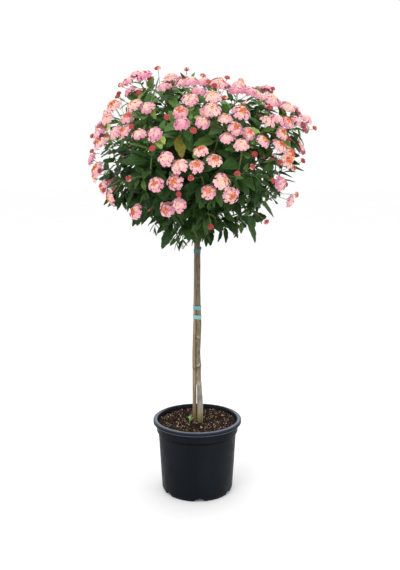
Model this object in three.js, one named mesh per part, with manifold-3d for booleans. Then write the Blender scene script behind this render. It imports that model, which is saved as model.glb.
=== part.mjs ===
// A lantana grown as a little tree: a bare trunk tied to a cane, a round head of leafy flowering
// shoots, and the round nursery pot that it grows in. Millimetres, +Z up, the front is -Y. The
// origin is the middle of the pot's underside, on the ground.
import * as THREE from 'three';
import { mergeVertices } from 'three/addons/utils/BufferGeometryUtils.js';
import Module from 'manifold-3d';

const wasm = await Module();
wasm.setup();

// ---------------------------------------------------------------- sizes
const GAP = 0.3; // clearance between two pieces that touch
const JOINT_GAP = 0.5; // the same between a shoot and its twig, which may meet a little askew
const SIDES = 26; // sides of everything round about the pot

const POT = {
  height: 200,
  rimRadius: 120,
  beadHeight: 11.5,
  collarRadius: 108.5,
  collarBottom: 168,
  shoulderRadius: 104,
  heelRadius: 95.7,
  heelHeight: 14,
  footRadius: 88.3,
  footInner: 81,
  padRadius: 34,
  recess: 5,
  wall: 2,
  notchWidth: 27,
  notchHeight: 9,
  notches: 6,
  notchTurn: 4, // degrees that the front notch sits off the middle
};
const FLOOR_TOP = POT.recess + POT.wall;

const SOIL = { height: 184, bumps: 2.6, holeBottom: 120 };

const CANE = { x: -8.4, radius: 4.8, top: 688, sides: 10 };

// Trunk: [x, height, radius] from its foot in the soil to the fork
const TRUNK = [
  [8, 121, 8.4],
  [8, 184, 8.3],
  [7.6, 240, 8.1],
  [6.8, 300, 7.9],
  [4.6, 336, 6.7],
  [3.8, 350, 6.9],
  [3.5, 364, 6.3],
  [3.2, 425, 6.2],
  [2.8, 560, 6],
  [2.6, 684, 5.9],
  [3, 718, 6.4],
  [3.4, 742, 5],
];
const TRUNK_SIDES = 8;
const TRUNK_KEPT_CLEAR = { heights: [600, 742], radius: 6 }; // of shoots

const TIES = { heights: [483, 508, 660], tall: 10.5, thick: 1.1, steps: 4 };

const SPROUT = {
  x: -21,
  y: -9,
  top: 200,
  base: 1.5,
  tip: 1.1,
  socket: 2,
  nodes: [8, 2.5],
  leafLength: 9,
  leafWidth: 7,
};

// The head of the tree: its middle and its half sizes sideways, up and down
const CROWN = { middle: new THREE.Vector3(5, 0, 885), side: 285, up: 232, down: 205 };

// Limbs: [turn, rise, length, height on the trunk]. Turn 0 is the front, 90 is +X.
const LIMBS = [
  [-62, 50, 132, 728],
  [-6, 46, 128, 720],
  [52, 50, 130, 732],
  [112, 46, 132, 722],
  [172, 48, 128, 734],
  [-124, 46, 132, 726],
  [-38, 27, 112, 699],
  [24, 24, 112, 706],
  [82, 28, 114, 696],
  [142, 25, 112, 708],
  [-160, 28, 112, 700],
  [-96, 25, 114, 710],
  [20, 85, 142, 738],
];
const LIMB = { base: 5, tip: 3.4, socket: 5, nodes: [58, 28], steps: 8, crowding: 18, lift: 8 };
const TWIG = { tip: 2.4, shootLength: 150, leastShare: 0.22, square: 0.5 };

// Flowering shoots: [turn, rise, reach as a share of the crown, open blooms, buds]
const SHOOTS = [
  [-62, 57, 1.07, 4, 2],
  [-35, 60, 0.98, 3, 1],
  [-38, 38, 1, 2, 2],
  [-74, 36, 0.98, 4, 1],
  [-45, 24, 0.94, 3, 1],
  [-68, 15, 0.94, 2, 3],
  [-24, 16, 1, 2, 1],
  [-1, 45, 0.99, 5, 1],
  [-7, 30, 0.99, 3, 2],
  [12, 63, 0.96, 2, 3],
  [16, 30, 1, 4, 1],
  [42, 54, 0.96, 4, 1],
  [62, 47, 0.95, 3, 1],
  [46, 27, 0.97, 3, 1],
  [24, 16, 1, 4, 1],
  [68, 33, 1, 4, 0],
  [88, 27, 1.05, 3, 1],
  [52, 6, 0.93, 3, 4],
  [-2, 4, 1, 5, 1],
  [-74, -2, 0.95, 3, 1],
  [-14, -11, 1, 2, 1],
  [9, -12, 1, 3, 0],
  [-66, -19, 0.93, 2, 1],
  [-42, -34, 0.94, 1, 0],
  [-16, -27, 0.98, 2, 0],
  [46, -9, 0.92, 2, 1],
  [66, -26, 0.94, 1, 1],
  [52, -42, 0.93, 0, 1],
  [24, -3, 0.94, 0, 2],
  [-36, -8, 0.95, 0, 1],
  [8, -44, 0.94, 0, 1],
  [-30, -62, 0.97, 0, 0],
  [82, -58, 0.94, 0, 0],
  [-98, 20, 0.97, 2, 1],
  [-104, 50, 1, 2, 1],
  [-112, -16, 0.94, 2, 1],
  [-130, 8, 0.98, 2, 0],
  [-136, 34, 1, 3, 1],
  [-136, -42, 0.93, 1, 0],
  [-150, 62, 0.98, 2, 1],
  [-160, 16, 0.98, 3, 0],
  [-168, -10, 0.96, 2, 1],
  [-178, 40, 1, 3, 1],
  [166, 14, 1, 2, 1],
  [160, -38, 0.93, 1, 0],
  [152, 66, 0.97, 2, 1],
  [138, 38, 1, 3, 0],
  [138, 8, 0.98, 3, 1],
  [120, -20, 0.94, 1, 1],
  [108, 12, 0.97, 3, 0],
  [102, 50, 1, 3, 1],
  [-90, 80, 0.95, 2, 1],
];
const STEM = {
  base: 2.3,
  tip: 1.6,
  socket: 3.4,
  nodes: [80, 47, 18, 6], // back from the tip
  steps: 10,
  belowBlooms: 30,
  tries: 80,
};
const STALK = 1.1; // radius of a bloom's stalk at its top
const BLOOM = { radius: 20, spread: 22.5, lobes: 5 };
const BUD = { radius: 7.6, height: 9.5, lobes: 3 };
const HEAD = { tries: 90, leastCosine: 0.66, goldenAngle: 2.39996 };
const LEAF = {
  petiole: 10,
  petioleHalfWidth: 1.3,
  length: 50,
  halfWidth: 14.5,
  thick: 1.8,
  edge: [[0.16, 0.82], [0.42, 0.9], [0.5, 1]], // share of the length, share of the half width
  middle: 0.4, // where the midrib is thickest, as a share of the length
  perShoot: 5,
  perHighShoot: 4,
  high: 35, // rise of a high shoot, in degrees
  tries: 60,
};
const SEED = 7;

// ---------------------------------------------------------------- small helpers
const UP = new THREE.Vector3(0, 0, 1);
const DOWN = new THREE.Vector3(0, 0, -1);
const radians = THREE.MathUtils.degToRad;
const vec = (x, y, z) => new THREE.Vector3(x, y, z);
const mix = (a, b, t) => a.clone().lerp(b, t);

// p + u a + v b + w c
function offset(p, a, u, b, v, c, w) {
  const q = p.clone().addScaledVector(a, u).addScaledVector(b, v);
  return c ? q.addScaledVector(c, w) : q;
}

// Repeatable random draws in 0..1
function seeded(seed) {
  let state = seed >>> 0;
  return () => {
    state = (state + 0x6d2b79f5) >>> 0;
    let t = Math.imul(state ^ (state >>> 15), state | 1);
    t ^= t + Math.imul(t ^ (t >>> 7), t | 61);
    return ((t ^ (t >>> 14)) >>> 0) / 4294967296;
  };
}

// A direction from its turn about the upright axis and its rise above the level
function direction(turn, rise) {
  const a = radians(turn);
  const e = radians(rise);
  return vec(Math.sin(a) * Math.cos(e), -Math.cos(a) * Math.cos(e), Math.sin(e));
}

// The point at a share of the crown's half size in a direction from its middle
function onCrown(way, reach) {
  const tall = way.z >= 0 ? CROWN.up : CROWN.down;
  const out = vec(way.x * CROWN.side, way.y * CROWN.side, way.z * tall);
  return out.multiplyScalar(reach).add(CROWN.middle);
}

// Two directions square to an axis and to each other, so that side x lift = axis
function frame(axis, hint) {
  const side = hint.clone().addScaledVector(axis, -hint.dot(axis));
  if (side.length() < 0.05) side.set(axis.z, axis.x, axis.y).cross(axis);
  side.normalize();
  return { side, lift: axis.clone().cross(side) };
}

// ---------------------------------------------------------------- closed shells
// Gathers points and triangles; rings run anticlockwise seen from the end that they lead to.
class Shell {
  points = [];
  faces = [];

  ring(list) {
    return list.map((point) => this.points.push(point) - 1);
  }

  face(a, b, c) {
    this.faces.push(a, b, c);
  }

  // Triangles from one point to every edge of a loop
  fan(tip, loop, turned = false) {
    loop.forEach((a, i) => {
      const b = loop[(i + 1) % loop.length];
      if (turned) this.face(tip, b, a);
      else this.face(tip, a, b);
    });
  }

  // The wall between two rings, which may have different counts
  band(low, high) {
    let i = 0;
    let j = 0;
    while (i < low.length || j < high.length) {
      const a = low[i % low.length];
      const b = high[j % high.length];
      if ((i + 0.5) / low.length <= (j + 0.5) / high.length) {
        this.face(a, low[(i + 1) % low.length], b);
        i += 1;
      } else {
        this.face(a, high[(j + 1) % high.length], b);
        j += 1;
      }
    }
  }

  // A flat end
  cap(loop, turned = false) {
    for (let i = 1; i < loop.length - 1; i += 1) {
      if (turned) this.face(loop[0], loop[i + 1], loop[i]);
      else this.face(loop[0], loop[i], loop[i + 1]);
    }
  }

  solid() {
    return new wasm.Manifold(new wasm.Mesh({
      numProp: 3,
      vertProperties: Float32Array.from(this.points.flatMap((p) => [p.x, p.y, p.z])),
      triVerts: Uint32Array.from(this.faces),
    }));
  }
}

// A three.js geometry as a solid: positions only, shared corners merged, empty triangles dropped
function solidOf(geometry) {
  geometry.deleteAttribute('normal');
  geometry.deleteAttribute('uv');
  const merged = mergeVertices(geometry);
  const index = Array.from(merged.index.array);
  const kept = [];
  for (let i = 0; i < index.length; i += 3) {
    const [a, b, c] = index.slice(i, i + 3);
    if (a !== b && b !== c && c !== a) kept.push(a, b, c);
  }
  return new wasm.Manifold(new wasm.Mesh({
    numProp: 3,
    vertProperties: Float32Array.from(merged.attributes.position.array),
    triVerts: Uint32Array.from(kept),
  }));
}

function fused(solids) {
  return solids.reduce((whole, solid) => whole.add(solid));
}

function meshOf(name, solid, color, roughness) {
  const { vertProperties, triVerts } = solid.getMesh();
  const geometry = new THREE.BufferGeometry();
  geometry.setAttribute('position', new THREE.BufferAttribute(vertProperties, 3));
  geometry.setIndex(new THREE.BufferAttribute(triVerts, 1));
  geometry.computeVertexNormals();
  const material = new THREE.MeshStandardMaterial({ color, roughness, metalness: 0, flatShading: true });
  const mesh = new THREE.Mesh(geometry, material);
  mesh.name = name;
  return mesh;
}

// The ring of corners about a point
function corners(middle, axis, hint, radius, sides) {
  const { side, lift } = frame(axis, hint);
  return Array.from({ length: sides }, (_, i) => {
    const a = (i * 2 * Math.PI) / sides;
    return offset(middle, side, radius * Math.cos(a), lift, radius * Math.sin(a));
  });
}

// A tapering rod along a line of points, flat at both ends
function rod(line, radii, sides, hint) {
  const shell = new Shell();
  const rings = line.map((point, i) => {
    const before = line[Math.max(i - 1, 0)];
    const after = line[Math.min(i + 1, line.length - 1)];
    const axis = after.clone().sub(before).normalize();
    return shell.ring(corners(point, axis, hint, radii[i], sides));
  });
  shell.cap(rings[0], true);
  rings.slice(1).forEach((ring, i) => shell.band(rings[i], ring));
  shell.cap(rings[rings.length - 1]);
  return shell.solid();
}

// A line of points bending from one end to the other past a middle point
function bend(from, past, to, steps) {
  return Array.from({ length: steps + 1 }, (_, i) => {
    const t = i / steps;
    return mix(mix(from, past, t), mix(past, to, t), t);
  });
}

// Where a line is, and which way it runs, at a distance back from its tip
function backFromTip(line, distance) {
  let left = distance;
  for (let i = line.length - 1; i > 0; i -= 1) {
    const piece = line[i].clone().sub(line[i - 1]);
    const length = piece.length();
    if (left <= length || i === 1) {
      const point = line[i].clone().addScaledVector(piece, -Math.min(left / length, 1));
      return { point, axis: piece.divideScalar(length) };
    }
    left -= length;
  }
  return null;
}

function lengthOf(line) {
  return line.slice(1).reduce((sum, point, i) => sum + point.distanceTo(line[i]), 0);
}

// ---------------------------------------------------------------- keeping things apart
// Everything in the crown is also covered by balls, and a new thing goes where its balls are free.
class Room {
  cell = 14;
  cells = new Map();

  * around(p, reach) {
    const low = [p.x, p.y, p.z].map((v) => Math.floor((v - reach) / this.cell));
    const high = [p.x, p.y, p.z].map((v) => Math.floor((v + reach) / this.cell));
    for (let i = low[0]; i <= high[0]; i += 1) {
      for (let j = low[1]; j <= high[1]; j += 1) {
        for (let k = low[2]; k <= high[2]; k += 1) yield `${i},${j},${k}`;
      }
    }
  }

  add(balls) {
    balls.forEach((ball) => {
      [...this.around(ball.at, ball.radius)].forEach((key) => {
        if (!this.cells.has(key)) this.cells.set(key, []);
        this.cells.get(key).push(ball);
      });
    });
  }

  isFree(balls) {
    return balls.every((ball) => {
      for (const key of this.around(ball.at, ball.radius)) {
        for (const other of this.cells.get(key) ?? []) {
          if (other.at.distanceTo(ball.at) < other.radius + ball.radius) return false;
        }
      }
      return true;
    });
  }
}

// Balls along a stem stand a step apart and a margin proud of it; a leaf's balls are larger. The
// first few millimetres of a stem, stalk or twig are left bare, as it starts against another.
const BALL = { step: 5, margin: 1.2, blade: 4, bladeStep: 6, stemBare: 9, stalkBare: 7 };

function ballsAlong(line, radius, bare) {
  const balls = [];
  let run = 0;
  line.slice(1).forEach((point, i) => {
    const length = point.distanceTo(line[i]);
    const count = Math.max(1, Math.ceil(length / BALL.step));
    for (let k = 1; k <= count; k += 1) {
      const at = mix(line[i], point, k / count);
      if (run + (length * k) / count >= bare) balls.push({ at, radius: radius + BALL.margin });
    }
    run += length;
  });
  return balls;
}

// ---------------------------------------------------------------- pot, soil, cane and ties
function turned(profile) {
  const points = profile.map(([radius, height]) => new THREE.Vector2(radius, height));
  return solidOf(new THREE.LatheGeometry(points, SIDES).rotateX(Math.PI / 2));
}

function potInnerRadius(height) {
  const t = (height - POT.heelHeight) / (POT.collarBottom - POT.heelHeight);
  return POT.heelRadius - POT.wall + (POT.shoulderRadius - POT.heelRadius) * Math.min(t, 1);
}

function makePot() {
  const { rimRadius: rim, height, beadHeight, collarRadius: collar, collarBottom, wall } = POT;
  const beadBottom = height - beadHeight;
  const bowl = turned([
    [0, 0],
    [POT.padRadius, 0],
    [POT.padRadius + 3, POT.recess],
    [POT.footInner - 3, POT.recess],
    [POT.footInner, 0],
    [POT.footRadius, 0],
    [POT.heelRadius, POT.heelHeight],
    [POT.shoulderRadius, collarBottom],
    [collar, collarBottom + 1.5],
    [collar, beadBottom],
    [rim - 3, beadBottom],
    [rim, beadBottom + 3.5],
    [rim - 0.7, height - 3],
    [rim - 4, height],
    [collar + 2, height],
    [collar - wall, height - 3],
    [POT.shoulderRadius - wall, collarBottom - 1],
    [POT.heelRadius - wall, POT.heelHeight],
    [POT.footRadius - wall, FLOOR_TOP],
    [0, FLOOR_TOP],
  ]);
  const length = POT.heelRadius - POT.footInner + 16;
  const shape = new THREE.Shape();
  shape.moveTo(-POT.notchWidth / 2, -1);
  shape.lineTo(POT.notchWidth / 2, -1);
  shape.lineTo(POT.notchWidth / 2, POT.notchHeight * 0.45);
  shape.lineTo(POT.notchWidth / 4, POT.notchHeight);
  shape.lineTo(-POT.notchWidth / 4, POT.notchHeight);
  shape.lineTo(-POT.notchWidth / 2, POT.notchHeight * 0.45);
  const cutters = Array.from({ length: POT.notches }, (_, i) => {
    const cutter = new THREE.ExtrudeGeometry(shape, { depth: length, bevelEnabled: false });
    cutter.rotateX(Math.PI / 2).translate(0, -POT.footInner + 8, 0);
    cutter.rotateZ(radians(POT.notchTurn + (i * 360) / POT.notches));
    return solidOf(cutter);
  });
  return meshOf('pot', bowl.subtract(fused(cutters)), 0x1c2024, 0.42);
}

// The soil's uneven top, as a height over a place
function soilTop(x, y) {
  const wave = Math.sin(x * 0.061 + 1.3) * Math.cos(y * 0.052) + 0.6 * Math.sin(x * 0.11 - y * 0.093);
  return SOIL.height + SOIL.bumps * wave;
}

function makeSoil(holes) {
  const heel = POT.heelHeight + 1;
  const geometry = new THREE.LatheGeometry([
    [0, FLOOR_TOP + GAP],
    [POT.footRadius - POT.wall - GAP - 1, FLOOR_TOP + GAP],
    [potInnerRadius(heel) - GAP, heel],
    [potInnerRadius(POT.collarBottom) - GAP, SOIL.height],
    [76, SOIL.height],
    [42, SOIL.height],
    [0, SOIL.height],
  ].map(([radius, height]) => new THREE.Vector2(radius, height)), SIDES);
  geometry.rotateX(Math.PI / 2);
  const place = geometry.attributes.position;
  for (let i = 0; i < place.count; i += 1) {
    if (place.getZ(i) > POT.collarBottom) place.setZ(i, soilTop(place.getX(i), place.getY(i)));
  }
  const pegs = holes.map(({ x, y, radius, from, sides }) => {
    const tall = SOIL.height + 20 - from;
    const peg = new THREE.CylinderGeometry(radius, radius, tall, sides).rotateX(Math.PI / 2);
    return solidOf(peg.translate(x, y, from + tall / 2));
  });
  return meshOf('soil', solidOf(geometry).subtract(fused(pegs)), 0x3a2a20, 1);
}

function trunkAt(height) {
  const i = Math.max(1, TRUNK.findIndex(([, z]) => z >= height));
  const [low, high] = [TRUNK[i - 1], TRUNK[i]];
  const t = (height - low[1]) / (high[1] - low[1]);
  return { x: low[0] + (high[0] - low[0]) * t, radius: low[2] + (high[2] - low[2]) * t };
}

function makeCane() {
  const tall = CANE.top - SOIL.holeBottom - GAP;
  const rodShape = new THREE.CylinderGeometry(CANE.radius * 0.92, CANE.radius, tall, CANE.sides, 1);
  rodShape.rotateX(Math.PI / 2).translate(CANE.x, 0, CANE.top - tall / 2);
  return meshOf('cane', solidOf(rodShape), 0xb58f64, 0.7);
}

// The outline of a band pulled tight round the cane and the trunk
function tieOutline(height, stand) {
  const trunk = trunkAt(height);
  const round = (x, radius, start) => Array.from({ length: TIES.steps + 1 }, (_, i) => {
    const a = radians(start + (i * 180) / TIES.steps);
    return new THREE.Vector2(x + radius * Math.cos(a), radius * Math.sin(a));
  });
  return [
    ...round(trunk.x, trunk.radius + stand, -90),
    ...round(CANE.x, CANE.radius + stand, 90),
  ];
}

function makeTie(name, height) {
  const shape = new THREE.Shape(tieOutline(height, GAP + 0.3 + TIES.thick));
  shape.holes.push(new THREE.Path(tieOutline(height, GAP + 0.3)));
  const band = new THREE.ExtrudeGeometry(shape, { depth: TIES.tall, bevelEnabled: false });
  band.translate(0, 0, height - TIES.tall / 2);
  return meshOf(name, solidOf(band), 0x6fb0a8, 0.5);
}

// ---------------------------------------------------------------- square stems with sockets
// A square stem runs along a line. Each node is a short band whose four facets are sockets, and
// the end is one more. What grows from a socket starts at the socket's own four corners, so that
// a stem and all that it carries are one closed shell with nothing to cut.
function squareStem(line, form, turn) {
  const shell = new Shell();
  const length = lengthOf(line);
  const whole = line[line.length - 1].clone().sub(line[0]).normalize();
  const { side, lift } = frame(whole, UP);
  const hint = offset(vec(0, 0, 0), side, Math.cos(turn), lift, Math.sin(turn));
  const nodes = form.nodes.filter((back) => back < length - 7.5 * form.tip);
  const ends = (back) => [back + form.socket / 2, back - form.socket / 2];
  const stations = [length, ...nodes.flatMap(ends), 0];
  const rings = stations.map((back) => {
    const { point, axis } = backFromTip(line, back);
    const radius = form.tip + ((form.base - form.tip) * back) / length;
    return shell.ring(corners(point, axis, hint, radius, 4));
  });
  shell.cap(rings[0], true);
  const sockets = [];
  rings.slice(1).forEach((high, i) => {
    const low = rings[i];
    if (i % 2 === 0) {
      shell.band(low, high);
      return;
    }
    low.forEach((corner, j) => {
      const next = (j + 1) % 4;
      sockets.push(socketOf(shell, [corner, low[next], high[next], high[j]], (i - 1) / 2, j));
    });
  });
  sockets.push(socketOf(shell, rings[rings.length - 1], nodes.length, 0));
  return { shell, sockets, line };
}

function socketOf(shell, loop, node, facet) {
  const [a, b, c, d] = loop.map((i) => shell.points[i]);
  const middle = a.clone().add(b).add(c).add(d).multiplyScalar(0.25);
  const facing = c.clone().sub(a).cross(d.clone().sub(b)).normalize();
  return { loop, node, facet, middle, facing, isFree: true };
}

function closeSockets(stem) {
  stem.sockets.filter((socket) => socket.isFree).forEach((socket) => stem.shell.cap(socket.loop));
  return stem.shell.solid();
}

// The free socket that best faces a place, out of those that pass a test
function socketTowards(stem, place, least, test = () => true) {
  let best = null;
  let most = least;
  stem.sockets.forEach((socket) => {
    if (!socket.isFree || !test(socket)) return;
    const cosine = place.clone().sub(socket.middle).normalize().dot(socket.facing);
    if (cosine > most) [best, most] = [socket, cosine];
  });
  return best;
}

// ---------------------------------------------------------------- leaves, blooms and buds
// A leaf: its root on the stem, which way it points, its upper side, and its size
function leafBalls(leaf) {
  const side = leaf.way.clone().cross(leaf.top);
  const balls = [];
  for (let u = 2; u <= leaf.length; u += BALL.bladeStep) {
    const t = u / leaf.length;
    const half = Math.max(0, leaf.halfWidth * bladeWidth(t) - BALL.blade * 0.6);
    const count = Math.ceil((2 * half) / BALL.bladeStep);
    for (let k = 0; k <= count; k += 1) {
      const w = count ? -half + (2 * half * k) / count : 0;
      const h = leaf.fold * Math.abs(w) - leaf.droop * t * t;
      const at = offset(leaf.root, leaf.way, LEAF.petiole + u, side, w, leaf.top, h);
      balls.push({ at, radius: BALL.blade });
    }
  }
  return balls;
}

// Half width of the ovate blade along its length, as a share of the widest
function bladeWidth(t) {
  return Math.sin(Math.PI * Math.pow(Math.min(t, 1), 0.7)) ** 0.8;
}

function growLeaf(shell, leaf) {
  const side = leaf.way.clone().cross(leaf.top);
  const put = (u, w, h) => offset(leaf.root, leaf.way, u, side, w, leaf.top, h);
  const blade = (t, share, sign) => put(
    LEAF.petiole + leaf.length * t,
    sign * share * leaf.halfWidth,
    leaf.fold * share * leaf.halfWidth - leaf.droop * t * t,
  );
  const outward = side.clone().add(leaf.top);
  const { loop, middle } = leaf.socket;
  const score = loop.map((i) => shell.points[i].clone().sub(middle).dot(outward));
  const first = score.indexOf(Math.max(...score));
  const [upRight, lowRight, lowLeft, upLeft] = [0, 1, 2, 3].map((i) => loop[(first + i) % 4]);
  const edge = (sign) => shell.ring([put(LEAF.petiole, sign * LEAF.petioleHalfWidth, 0)]
    .concat(LEAF.edge.map(([t, share]) => blade(t, share, sign))));
  const rim = [...edge(1), ...shell.ring([blade(1, 0, 1)]), ...edge(-1).reverse()];
  const at = LEAF.petiole + leaf.length * LEAF.middle;
  const sag = -leaf.droop * LEAF.middle ** 2;
  const [upper, lower] = shell.ring([put(at, 0, sag), put(at, 0, sag - LEAF.thick)]);
  shell.fan(upper, [upRight, ...rim, upLeft]);
  shell.fan(lower, [lowRight, ...rim, lowLeft], true);
  shell.face(upRight, lowRight, rim[0]);
  shell.face(lowLeft, upLeft, rim[rim.length - 1]);
}

// A stalk from a socket to the underside of a bloom or bud
function growStalk(shell, head) {
  const { loop, middle } = head.socket;
  const way = head.base.clone().sub(middle).normalize();
  const hint = shell.points[loop[0]].clone().sub(middle);
  hint.applyQuaternion(new THREE.Quaternion().setFromUnitVectors(way, head.facing));
  const neck = shell.ring(corners(head.base, head.facing, hint, STALK, 3));
  shell.band(loop, neck);
  return { neck, ...frame(head.facing, hint) };
}

// Points in a ring about a head's axis, every other one further in and at another height
function lobes(head, { side, lift }, count, turn, [outer, low], [inner, high]) {
  return Array.from({ length: count }, (_, i) => {
    const a = turn + (i * 2 * Math.PI) / count;
    const [radius, rise] = i % 2 ? [inner, high] : [outer, low];
    const flat = offset(head.base, side, radius * Math.cos(a), lift, radius * Math.sin(a));
    return flat.addScaledVector(head.facing, rise);
  });
}

// An open bloom: a dome of florets, here a lobed skirt below a ring of raised lobes and a hollow eye
function growBloom(shell, head) {
  const { neck, ...square } = growStalk(shell, head);
  const r = head.radius;
  const n = BLOOM.lobes;
  const skirt = shell.ring(lobes(head, square, 2 * n, 0, [r, 0.3 * r], [0.76 * r, 0.36 * r]));
  const raised = [0.54 * r, 0.62 * r];
  const dome = shell.ring(lobes(head, square, n, Math.PI / n, raised, raised));
  shell.band(neck, skirt);
  shell.band(skirt, dome);
  shell.fan(shell.ring([head.base.clone().addScaledVector(head.facing, 0.52 * r)])[0], dome);
}

function growBud(shell, head) {
  const { neck, ...square } = growStalk(shell, head);
  const r = head.radius;
  const ring = shell.ring(lobes(head, square, 2 * BUD.lobes, 0, [r, 0.75 * r], [0.78 * r, 0.4 * r]));
  shell.band(neck, ring);
  shell.fan(shell.ring([head.base.clone().addScaledVector(head.facing, BUD.height)])[0], ring);
}

function headBalls(head) {
  const stalk = ballsAlong([head.root, head.base], STALK, BALL.stalkBare);
  const at = (up) => head.base.clone().addScaledVector(head.facing, up);
  if (!head.open) return [...stalk, { at: at(4), radius: head.radius + 0.5 }];
  const square = frame(head.facing, vec(0.3, 0.5, 0.8));
  const place = [0.68 * head.radius, 0.32 * head.radius];
  const rim = lobes(head, square, 8, 0, place, place).map((p) => ({ at: p, radius: 0.37 * head.radius }));
  return [...stalk, ...rim, { at: at(0.34 * head.radius), radius: 0.42 * head.radius }];
}

// ---------------------------------------------------------------- the tree's frame
const room = new Room();
const onTrunk = (height) => vec(trunkAt(height).x, 0, height);

const limbs = LIMBS.map(([turn, rise, length, height]) => {
  const from = onTrunk(height);
  const to = from.clone().addScaledVector(direction(turn, rise), length);
  const past = from.clone().addScaledVector(direction(turn, rise + LIMB.lift), length * 0.5);
  return { ...squareStem(bend(from, past, to, LIMB.steps), LIMB, radians(turn)), twigs: 0 };
});
const limbEnd = (limb) => limb.line[limb.line.length - 1];

// Each shoot is carried by a twig, which grows from a socket of the nearest limb
const shoots = SHOOTS.map(([turn, rise, reach, blooms, buds], index) => {
  const way = direction(turn, rise);
  const tip = onCrown(way, reach).addScaledVector(way, -STEM.belowBlooms);
  const cost = (limb) => limbEnd(limb).distanceTo(tip) + LIMB.crowding * limb.twigs;
  const limb = limbs.reduce((best, next) => (cost(next) < cost(best) ? next : best));
  limb.twigs += 1;
  const socket = socketTowards(limb, tip, -1);
  socket.isFree = false;
  const whole = tip.clone().sub(socket.middle);
  const share = Math.max(TWIG.leastShare, 1 - TWIG.shootLength / whole.length());
  const lean = whole.clone().normalize().addScaledVector(UP, rise < 0 ? 0.35 : -0.1);
  lean.addScaledVector(socket.facing, TWIG.square).normalize();
  const twigEnd = socket.middle.clone().addScaledVector(lean, whole.length() * share);
  const hint = limb.shell.points[socket.loop[0]].clone().sub(socket.middle);
  const ring = limb.shell.ring(corners(twigEnd, lean, hint, TWIG.tip, 4));
  limb.shell.band(socket.loop, ring);
  limb.shell.cap(ring);
  const twig = [socket.middle, twigEnd];
  return { index, rise, way, tip, reach, blooms, buds, twig, lean, things: [] };
});

limbs.forEach(({ line }) => room.add(ballsAlong(line, LIMB.tip + 0.6, 0)));
shoots.forEach(({ twig }) => room.add(ballsAlong(twig, TWIG.tip, 0)));
room.add(ballsAlong(TRUNK_KEPT_CLEAR.heights.map(onTrunk), TRUNK_KEPT_CLEAR.radius, 0));

// Any direction at all, from two draws
const anyWay = (draw) => direction(draw() * 360, draw() * 180 - 90);

// Each shoot's stem leaves its twig straight on and bends to its tip, past what is in the way
shoots.forEach((shoot) => {
  const draw = seeded(SEED + shoot.index * 101);
  const from = shoot.twig[1].clone().addScaledVector(shoot.lean, JOINT_GAP);
  const length = from.distanceTo(shoot.tip);
  for (let attempt = 0; attempt < STEM.tries; attempt += 1) {
    const wander = attempt ? 3 + attempt * 0.8 : 0;
    const to = shoot.tip.clone().addScaledVector(anyWay(draw), wander);
    const past = from.clone().addScaledVector(shoot.lean, length * 0.5);
    past.addScaledVector(anyWay(draw), wander);
    shoot.line = bend(from, past, to, STEM.steps);
    shoot.balls = ballsAlong(shoot.line, STEM.base, BALL.stemBare);
    if (room.isFree(shoot.balls)) break;
  }
  room.add(shoot.balls);
  Object.assign(shoot, squareStem(shoot.line, STEM, shoot.index * 0.9));
});

// The first free place out of many tries
function placeFirstFree(shoot, tries, make, ballsOf) {
  for (let attempt = 0; attempt < tries; attempt += 1) {
    const thing = make(attempt);
    if (thing && room.isFree(ballsOf(thing))) {
      room.add(ballsOf(thing));
      thing.socket.isFree = false;
      shoot.things.push(thing);
      return;
    }
  }
}

// ---------------------------------------------------------------- blooms and buds in their places
// Heads fill a round about the shoot's tip in a sunflower's order, each on a stalk of its own
function tryHead(shoot, number, open, draw, attempt) {
  const { side, lift } = frame(shoot.way, UP);
  const count = shoot.blooms + shoot.buds;
  const angle = (number + shoot.index * 0.37) * HEAD.goldenAngle + (draw() - 0.5) * (0.5 + attempt * 0.12);
  const spread = BLOOM.spread * Math.sqrt(count > 1 ? number + 0.55 : 0) * (1 + attempt * 0.012);
  const away = offset(shoot.way.clone().multiplyScalar(CROWN.side),
    side, spread * Math.cos(angle), lift, spread * Math.sin(angle)).normalize();
  const reach = shoot.reach + (draw() - 0.5) * (0.05 + attempt * 0.002) + (open ? 0 : 0.025);
  const base = onCrown(away, reach);
  const topNodes = STEM.nodes.length - (number < 5 ? 2 : 3);
  const socket = socketTowards(shoot, base, 0.3, ({ node }) => node >= topNodes);
  const facing = away.clone().multiplyScalar(0.75).addScaledVector(UP, 0.4);
  facing.addScaledVector(anyWay(draw), 0.28).normalize();
  const radius = open ? BLOOM.radius * (0.9 + 0.2 * draw()) : BUD.radius * (0.85 + 0.3 * draw());
  if (!socket) return null;
  const stalk = base.clone().sub(socket.middle).normalize();
  while (facing.dot(stalk) < HEAD.leastCosine) facing.addScaledVector(stalk, 0.3).normalize();
  return { kind: 'head', open, socket, root: socket.middle, base, facing, radius };
}

shoots.forEach((shoot) => {
  for (let number = 0; number < shoot.blooms + shoot.buds; number += 1) {
    const draw = seeded(SEED + 5000 + shoot.index * 97 + number * 13);
    const open = number < shoot.blooms;
    const make = (attempt) => tryHead(shoot, number, open, draw, attempt);
    placeFirstFree(shoot, HEAD.tries, make, headBalls);
  }
});

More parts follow.
